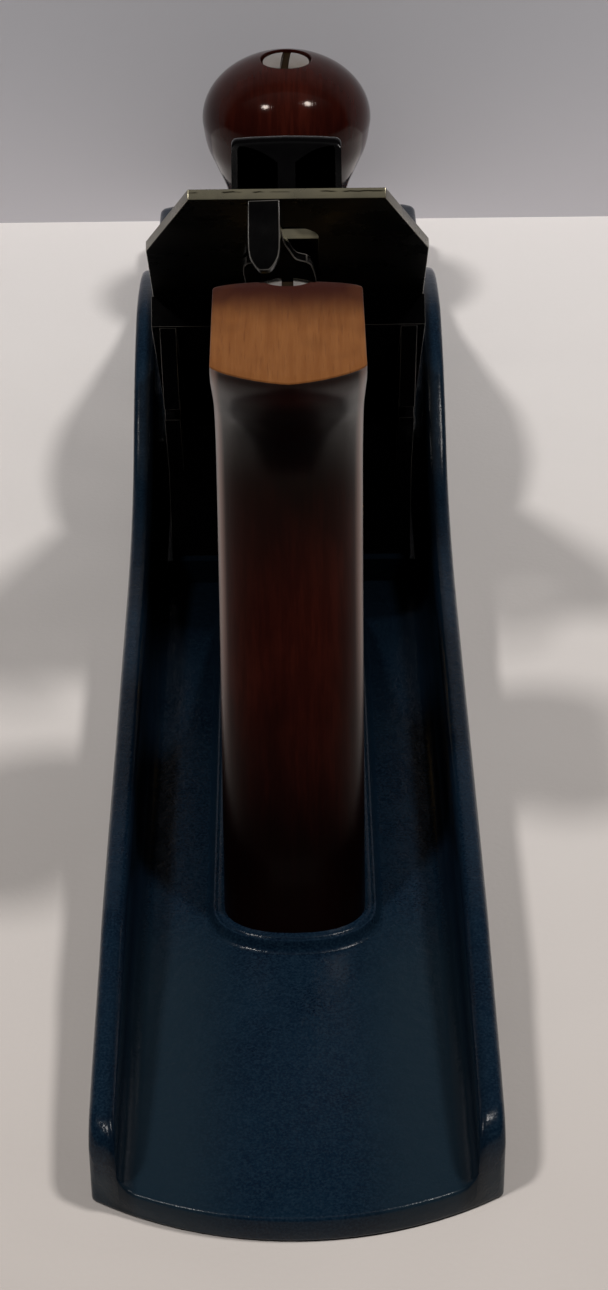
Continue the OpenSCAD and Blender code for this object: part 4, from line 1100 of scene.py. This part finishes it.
class PLANE_OT_rear_handle(bpy.types.Operator):
    """Models the wooden rear handle with its flat raw top"""

    bl_idname = "plane.rear_handle"
    bl_label = "Rear handle"

    def execute(self, context):
        rings = [handle_ring(*row[1:], SEAT_Z + row[0] * MM) for row in curve(HANDLE_STATIONS, 4)]
        edge = HANDLE_EDGE
        top = HANDLE_STATIONS[-1]
        rings[-1] = handle_ring(*top[1:], TOTE_HI.z - edge)
        rings.append(handle_ring(*top[1:], TOTE_HI.z - 0.3 * edge, -0.3 * edge))
        rings.append(handle_ring(*top[1:], TOTE_HI.z, -edge))
        rings.append(handle_ring(*top[1:], TOTE_HI.z, -0.0025))
        handle = pull_rings("rear_handle", rings)
        seat = handle_axis(TOTE_HI.z - NUT_DROP)
        axis = Vector((0, math.sin(HANDLE_LEAN), math.cos(HANDLE_LEAN)))
        carve(handle, rod("recess", seat, seat + axis * 0.03, NUT_RADIUS + NUT_ROOM, 64))
        carve(handle, rod("bore", seat - axis * 0.0165, seat + axis * 0.001, BORE_R))
        finish_skin(handle, 34)
        place_piece(handle, "plane", "lacquered_wood", "tote")
        return {"FINISHED"}


# The knob's widest level, the height of its dome over it and its waist's radius
KNOB_MIDDLE = 0.0539
KNOB_DOME = 0.0148
KNOB_WAIST = 0.0124
# Millimetres from the foot to the widest level in the outline that execute scales
KNOB_OUTLINE = 46.9


class PLANE_OT_front_knob(bpy.types.Operator):
    """Turns the round front knob"""

    bl_idname = "plane.front_knob"
    bl_label = "Front knob"

    def execute(self, context):
        foot = SEAT_Z
        radius = (KNOB_HI.x - KNOB_LO.x) / 2
        k = (KNOB_MIDDLE - foot) / KNOB_OUTLINE
        dip = math.radians(2)
        side = curve([
            (0.0148, foot), (0.0154, foot + 1.4 * MM), (0.0149, foot + 4 * k),
            (KNOB_WAIST + 0.0009, foot + 10 * k), (KNOB_WAIST, foot + 17 * k),
            (KNOB_WAIST + 0.0004, foot + 24 * k), (KNOB_WAIST + 0.0021, foot + 31 * k),
            (radius - 0.0029, foot + 36 * k), (radius - 0.0009, foot + 41 * k),
            (radius * math.cos(dip), KNOB_MIDDLE - KNOB_DOME * math.sin(dip)),
        ], 5)
        flat = math.acos((NUT_RADIUS + 0.0004) / radius)
        for i in range(25):
            a = flat * i / 24
            side.append((radius * math.cos(a), KNOB_MIDDLE + KNOB_DOME * math.sin(a)))
        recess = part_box("knob_nut")[1].z - NUT_HEAD
        hole = NUT_RADIUS + NUT_ROOM
        side += [
            (hole, side[-1][1] - 0.0001), (hole, recess), (BORE_R, recess), (BORE_R, recess - 0.012),
            (0.0, recess - 0.012),
        ]
        knob = turned("front_knob", [(0.0, foot)] + side, sizes().turning_steps, (0, KNOB_Y, 0))
        place_piece(knob, "plane", "lacquered_wood", "knob")
        return {"FINISHED"}


class PLANE_OT_handle_nuts(bpy.types.Operator):
    """Turns the two round slotted nuts of the handles"""

    bl_idname = "plane.handle_nuts"
    bl_label = "Handle nuts"

    def execute(self, context):
        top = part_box("knob_nut")[1].z
        knob_nut = slotted_nut("knob_round_nut", (0, KNOB_Y, top - NUT_HEAD), math.radians(-5), 0)
        place_piece(knob_nut, "plane", "nickel_plate", "knob_nut")
        seat = handle_axis(TOTE_HI.z - NUT_DROP)
        handle_nut = slotted_nut("handle_round_nut", seat, 0, HANDLE_LEAN)
        place_piece(handle_nut, "plane", "nickel_plate", "tote_nut")
        return {"FINISHED"}


# Distance from the cam lever's pin, with the height of its back and of its underside there
LEVER_BACK = [(-0.0030, 0.0038), (0.0060, 0.0058), (0.0140, 0.0076), (0.0300, 0.0096)]
LEVER_UNDER = [(-0.0030, -0.0020), (0.0050, -0.0040), (0.0140, -0.0038), (0.0300, -0.0034)]
LEVER_TIP = 0.0298
# Distances of its sections from the pin, up to where the back rounds over
LEVER_PLACES = [-0.003, 0.0, 0.003, 0.006, 0.010, 0.014, 0.018, 0.022, 0.0245]
LEVER_CORNER = 0.0010
BARREL_R = 0.0045
PIN_HOLE_R = 0.00185
# Distance from the pin where the tip's corners start to draw back, and the stretch that it takes
NOSE_FROM, NOSE_L = 0.020, 0.0098
# A hollow's sections: distance from the pin, and 1 where it is at its deepest
HOLLOW_PLACES = ((0.0095, 1.0), (0.0186, 1.0), (0.0200, 0.0), (0.0350, 0.0))
HOLLOW_ROOF, HOLLOW_DEEPER = 0.0024, 0.0008
HOLLOW_FOOT = -0.009
# Places across a hollow's roof, from the rib to the skirt
HOLLOW_STEPS = (0.12, 0.25, 0.4, 0.55, 0.7, 0.85, 0.96)


def on_lever(x, up, out):
    """A point of the cam lever: across, up the bed from its pin, and out of the bed."""
    return tuple(LEVER_PIN + Vector((x, (out - up) * SQUARE_HALF, (up + out) * SQUARE_HALF)))


class PLANE_OT_cam_lever(bpy.types.Operator):
    """Models the cam lever: a rounded shell with two swooping hollows beside a rib"""

    bl_idname = "plane.cam_lever"
    bl_label = "Cam lever"

    def section(self, up, half):
        """One section of the solid lever, with its back rounded over towards the tip."""
        s = sizes()
        over = max(0.0, (up - LEVER_TIP + s.lever_lip) / s.lever_lip)
        top = between(up, LEVER_BACK) - s.lever_lip * 0.85 * (1 - math.sqrt(max(0.0, 1 - over ** 2)))
        low = between(up, LEVER_UNDER)
        corner = LEVER_CORNER
        right = [(half, low), (half, (low + top - corner) / 2)]
        for k in range(6):
            a = math.radians(18 * k)
            right.append((half - corner * (1 - math.cos(a)), top - corner * (1 - math.sin(a))))
        right += [(half * x, top + 0.0001) for x in (0.6, 0.4, 0.2)]
        ring = right + [(0.0, top + 0.0001)] + [(-x, h) for x, h in reversed(right)]
        ring += [(-half / 2, low), (0.0, low), (half / 2, low)]
        return [on_lever(x, up, h) for x, h in ring]

    def shape_nose(self, lever, half):
        """Draws the tip's corners back, which leaves a soft nose in its middle."""
        for vert in lever.data.vertices:
            offset = vert.co - LEVER_PIN
            up = (offset.z - offset.y) * SQUARE_HALF
            back = sizes().lever_nose * min(1.0, max(0.0, (up - NOSE_FROM) / NOSE_L))
            back *= (abs(offset.x) / half) ** 1.3
            vert.co += Vector((0, back * SQUARE_HALF, -back * SQUARE_HALF))

    def hollow(self, side, half):
        """A solid for one hollow between the rib and a skirt; its roof swoops down to the rib."""
        s = sizes()
        rings = []
        for up, deep in HOLLOW_PLACES:
            rib = s.lever_rib * (0.5 + 0.5 * deep)
            roof = between(up, LEVER_BACK) - HOLLOW_ROOF - HOLLOW_DEEPER * deep
            swoop = s.lever_swoop * (1 + 0.6 * deep)
            width = half - s.lever_wall - rib
            row = [(rib, HOLLOW_FOOT), (rib, roof - swoop)]
            row += [(rib + width * t, roof - swoop * (1 - t) ** 1.9) for t in HOLLOW_STEPS]
            row += [(rib + width, roof - 0.0007), (rib + width, HOLLOW_FOOT)]
            rings.append([on_lever(side * x, up, h) for x, h in row])
        return pull_rings("hollow", rings)

    def execute(self, context):
        s = sizes()
        lo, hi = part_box("lever_cap_lever")
        half = (hi.x - lo.x) / 2
        tip = [LEVER_TIP - s.lever_lip * (1 - math.sin(math.radians(10 * k))) for k in range(10)]
        lever = pull_rings("cam_lever", [self.section(up, half) for up in LEVER_PLACES + tip])
        left, right = LEVER_PIN + Vector((lo.x, 0, 0)), LEVER_PIN + Vector((hi.x, 0, 0))
        carve(lever, rod("barrel", left, right, BARREL_R), "UNION")
        for side in (-1, 1):
            carve(lever, self.hollow(side, half))
        past = Vector((0.02, 0, 0))
        carve(lever, rod("bore", LEVER_PIN - past, LEVER_PIN + past, PIN_HOLE_R))
        self.shape_nose(lever, half)
        soften(lever, 0.00045, 3, 34)
        place_piece(lever, "cap_lever", "black_japan", "lever_cap_lever")
        return {"FINISHED"}


class PLANE_OT_machined_pieces(bpy.types.Operator):
    """Dresses the cutter, the frog, the lever cap and the levers with broken edges"""

    bl_idname = "plane.machined_pieces"
    bl_label = "Machined and cast pieces"

    def execute(self, context):
        fine = sizes().edge_soft
        cast = sizes().cast_soft
        for node, name, body, slot, width in (
            ("plane_iron", "cutter", "iron_pair", "dark_steel", fine),
            ("cap_iron", "cutter_cap", "iron_pair", "dark_steel", fine),
            ("lever_cap", "lever_cap_shell", "plane", "black_japan", cast),
            ("frog", "frog_casting", "plane", "black_japan", cast),
            ("lateral_lever", "side_lever", "lateral_lever", "black_japan", 1.4 * fine),
            ("depth_yoke", "forked_yoke", "depth_yoke", "black_japan", 2 * fine),
        ):
            piece = dressed_copy(node, name, width)
            if name == "cutter":
                self.clear_bed(piece)
            place_piece(piece, body, slot, node)
        return {"FINISHED"}

    def clear_bed(self, cutter):
        """Leaves a hair of room under the cutter, where it slides and swings on the bed."""
        for vert in cutter.data.vertices:
            if abs(vert.co.y - MOUTH_Y + vert.co.z) < BED_ROOM:
                vert.co += Vector((0, BED_ROOM, BED_ROOM)) * SQUARE_HALF


class PLANE_OT_finish_frame(bpy.types.Operator):
    """Gives every CAD node that still shows the finish of its material slot"""

    bl_idname = "plane.finish_frame"
    bl_label = "Finish the frame"

    def execute(self, context):
        for part in frame["record"]["subparts"]:
            node = frame["nodes"][part["node"]]
            node.data.materials.clear()
            node.data.materials.append(finish(part["material_slot"]))
        return {"FINISHED"}


# The stage

# Each lamp's direction from the knob, its distance and its size
LAMPS = (
    ("lamp_left", (-0.404, -0.330, 0.853), 4.0, 0.45, "left"),
    ("lamp_right", (0.402, -0.258, 0.878), 1.3, 0.16, "right"),
)
LAMP_TINT = (1.0, 0.965, 0.93)
LAMP_AIM = (0, 0.02, 0.03)
# Height on the knob that the lamps' directions are taken from
KNOB_CENTRE_Z = 0.065
BOARD_REACH = 4
WALL_Y = 0.190
WALL_TOP = 3.0
# Painted shade on the backdrop higher up
BACKDROP_HIGH_SHADE = (0.05, 0.048, 0.052)
# How much of the ceiling's light is missing behind the camera
DARK_BEHIND = 0.93
# The camera's place, its turns down, aside and about its axis in radians, and its lens in millimetres
CAMERA_PLACE = (0.0005, -0.4870, 0.3098)
CAMERA_TURNS = (0.5783, 0.0039, -0.0094)
CAMERA_LENS = 79.0


def plain_board(name, corners, material):
    """A flat board of the stage."""
    deselect()
    bpy.ops.mesh.primitive_plane_add(size=1.0, location=(0, 0, 0))
    board = bpy.context.active_object
    board.name = name
    bpy.ops.object.mode_set(mode="EDIT")
    mesh = bmesh.from_edit_mesh(board.data)
    mesh.verts.ensure_lookup_table()
    face = mesh.faces[:][0]
    for vert, point in zip(list(face.verts), corners):
        vert.co = point
    bmesh.update_edit_mesh(board.data)
    close_edit()
    board.data.materials.append(material)
    return board


def cloth_finish():
    """Pale cloth with faint folds, painted brighter at the back as if lit more."""
    material, tree, shader, place = new_finish("stage_cloth", Roughness=0.95, Specular_IOR_Level=0.1)
    apart = split_place(tree, place)
    folds = noise(tree, place, 9.0, 2.0, 0.4, 0.5)
    weave = noise(tree, place, 900.0, 2.0, 0.5)
    # Painted light: the floor brightens towards the back
    far = step_between(tree, math_node(tree, "MULTIPLY_ADD", folds, 0.10, apart["Y"]), -0.25, 0.24)
    light = blend(tree, far, colours().cloth, colours().cloth_far_lit)
    tree.links.new(light, shader.inputs["Base Color"])
    set_bump(tree, shader, math_node(tree, "MULTIPLY_ADD", weave, 0.004, folds), 0.012)
    return material


def wall_finish():
    """Grey backdrop with painted light: brighter close to the floor and painted dark higher up; open from behind,
    so that it hides nothing in other views.
    """
    material, tree, shader, place = new_finish("stage_wall", Roughness=0.9, Specular_IOR_Level=0.1)
    height = split_place(tree, place)["Z"]
    # Painted light near the floor, painted shade higher up
    light = blend(tree, step_between(tree, height, 0.0, 0.06), colours().wall_low_lit, colours().wall)
    light = blend(tree, step_between(tree, height, 0.09, 0.40), light, BACKDROP_HIGH_SHADE)
    tree.links.new(light, shader.inputs["Base Color"])
    clear = tree.nodes.new("ShaderNodeBsdfTransparent")
    behind = tree.nodes.new("ShaderNodeNewGeometry").outputs["Backfacing"]
    mix = tree.nodes.new("ShaderNodeMixShader")
    tree.links.new(behind, mix.inputs[0])
    tree.links.new(shader.outputs[0], mix.inputs[1])
    tree.links.new(clear.outputs[0], mix.inputs[2])
    tree.links.new(mix.outputs[0], tree.nodes["Material Output"].inputs["Surface"])
    return material


def add_lamp(name, place, size, power):
    """A round lamp that is aimed at the plane."""
    deselect()
    bpy.ops.object.light_add(type="AREA", location=place)
    lamp = bpy.context.active_object
    lamp.name = name
    lamp.data.shape = "DISK"
    lamp.data.size = size
    lamp.data.energy = power
    lamp.data.color = LAMP_TINT
    lamp.rotation_euler = (Vector(LAMP_AIM) - Vector(place)).to_track_quat("-Z", "Y").to_euler()


class PLANE_OT_stage(bpy.types.Operator):
    """Sets the floor, the backdrop, the lamps, the room's light and the camera"""

    bl_idname = "plane.stage"
    bl_label = "Stage"

    def execute(self, context):
        light = context.scene.stage_light
        far = BOARD_REACH
        floor = [(-far, -far, 0), (far, -far, 0), (far, far, 0), (-far, far, 0)]
        wall = [(-far, WALL_Y, 0), (far, WALL_Y, 0), (far, WALL_Y, WALL_TOP), (-far, WALL_Y, WALL_TOP)]
        plain_board("stage_floor", floor, cloth_finish())
        plain_board("stage_wall", wall, wall_finish())
        knob = Vector((0, KNOB_Y, KNOB_CENTRE_Z))
        for name, side, distance, size, power in LAMPS:
            add_lamp(name, knob + Vector(side).normalized() * distance, size, getattr(light, power))
        context.scene.world = self.room_light(light.room)
        context.scene.view_settings.view_transform = "Standard"
        self.set_camera(context)
        return {"FINISHED"}

    def room_light(self, strength):
        """A soft light from the ceiling, dark towards the horizon and behind the camera."""
        world = bpy.data.worlds.new("room")
        world.use_nodes = True
        tree = world.node_tree
        back = tree.nodes["Background"]
        direction = tree.nodes.new("ShaderNodeTexCoord").outputs["Generated"]
        apart = split_place(tree, direction)
        light = ramp(tree, apart["Z"], [(0.0, 0.02), (0.60, 0.03), (0.85, 1.0)])
        behind = step_between(tree, apart["Y"], 0.15, -0.55)
        unlit = times(tree, behind, DARK_BEHIND)
        tree.links.new(blend(tree, unlit, light, (0, 0, 0)), back.inputs["Color"])
        back.inputs["Strength"].default_value = strength
        return world

    def set_camera(self, context):
        """The photograph's viewpoint."""
        place = Vector(CAMERA_PLACE)
        down, aside, roll = CAMERA_TURNS
        level = math.cos(down)
        ahead = Vector((math.sin(aside) * level, math.cos(aside) * level, -math.sin(down)))
        right = ahead.cross(Vector((0, 0, 1))).normalized()
        up = right.cross(ahead)
        right, up = (
            right * math.cos(roll) + up * math.sin(roll), up * math.cos(roll) - right * math.sin(roll)
        )
        deselect()
        bpy.ops.object.camera_add(location=place)
        camera = bpy.context.active_object
        camera.name = "camera"
        turn = Matrix((right, up, -ahead)).transposed().to_4x4()
        camera.matrix_world = Matrix.Translation(place) @ turn
        camera.data.sensor_fit = "AUTO"
        camera.data.sensor_width = 36.0
        camera.data.lens = CAMERA_LENS
        camera.data.clip_start = 0.01
        camera.data.clip_end = 20.0
        context.scene.camera = camera


class PLANE_PT_panel(bpy.types.Panel):
    """Lists the plane's pieces"""

    bl_idname = "PLANE_PT_panel"
    bl_label = "Jack Plane"
    bl_space_type = "VIEW_3D"
    bl_region_type = "UI"
    bl_category = "Jack Plane"

    def draw(self, context):
        for group in (context.scene.plane_sizes, context.scene.plane_colours, context.scene.stage_light):
            box = self.layout.box()
            for key in group.__annotations__:
                box.prop(group, key)
        for maker in MAKERS:
            self.layout.operator(maker.bl_idname)


MAKERS = (
    PLANE_OT_stage, PLANE_OT_casting, PLANE_OT_rear_handle, PLANE_OT_front_knob, PLANE_OT_handle_nuts,
    PLANE_OT_cam_lever, PLANE_OT_machined_pieces, PLANE_OT_finish_frame,
)
GROUPS = (PlaneSizes, PlaneColours, StageLight)


def register():
    """Registers the classes and the scene's properties."""
    for kind in GROUPS + MAKERS + (PLANE_PT_panel,):
        bpy.utils.register_class(kind)
    bpy.types.Scene.plane_sizes = PointerProperty(type=PlaneSizes)
    bpy.types.Scene.plane_colours = PointerProperty(type=PlaneColours)
    bpy.types.Scene.stage_light = PointerProperty(type=StageLight)


def unregister():
    """Takes the properties and the classes out again."""
    del bpy.types.Scene.stage_light
    del bpy.types.Scene.plane_colours
    del bpy.types.Scene.plane_sizes
    for kind in reversed(GROUPS + MAKERS + (PLANE_PT_panel,)):
        bpy.utils.unregister_class(kind)


def main():
    """Makes the stage and every piece in order."""
    register()
    bpy.ops.plane.stage()
    bpy.ops.plane.casting()
    bpy.ops.plane.rear_handle()
    bpy.ops.plane.front_knob()
    bpy.ops.plane.handle_nuts()
    bpy.ops.plane.cam_lever()
    bpy.ops.plane.machined_pieces()
    bpy.ops.plane.finish_frame()
    deselect()


if __name__ == "__main__":
    main()
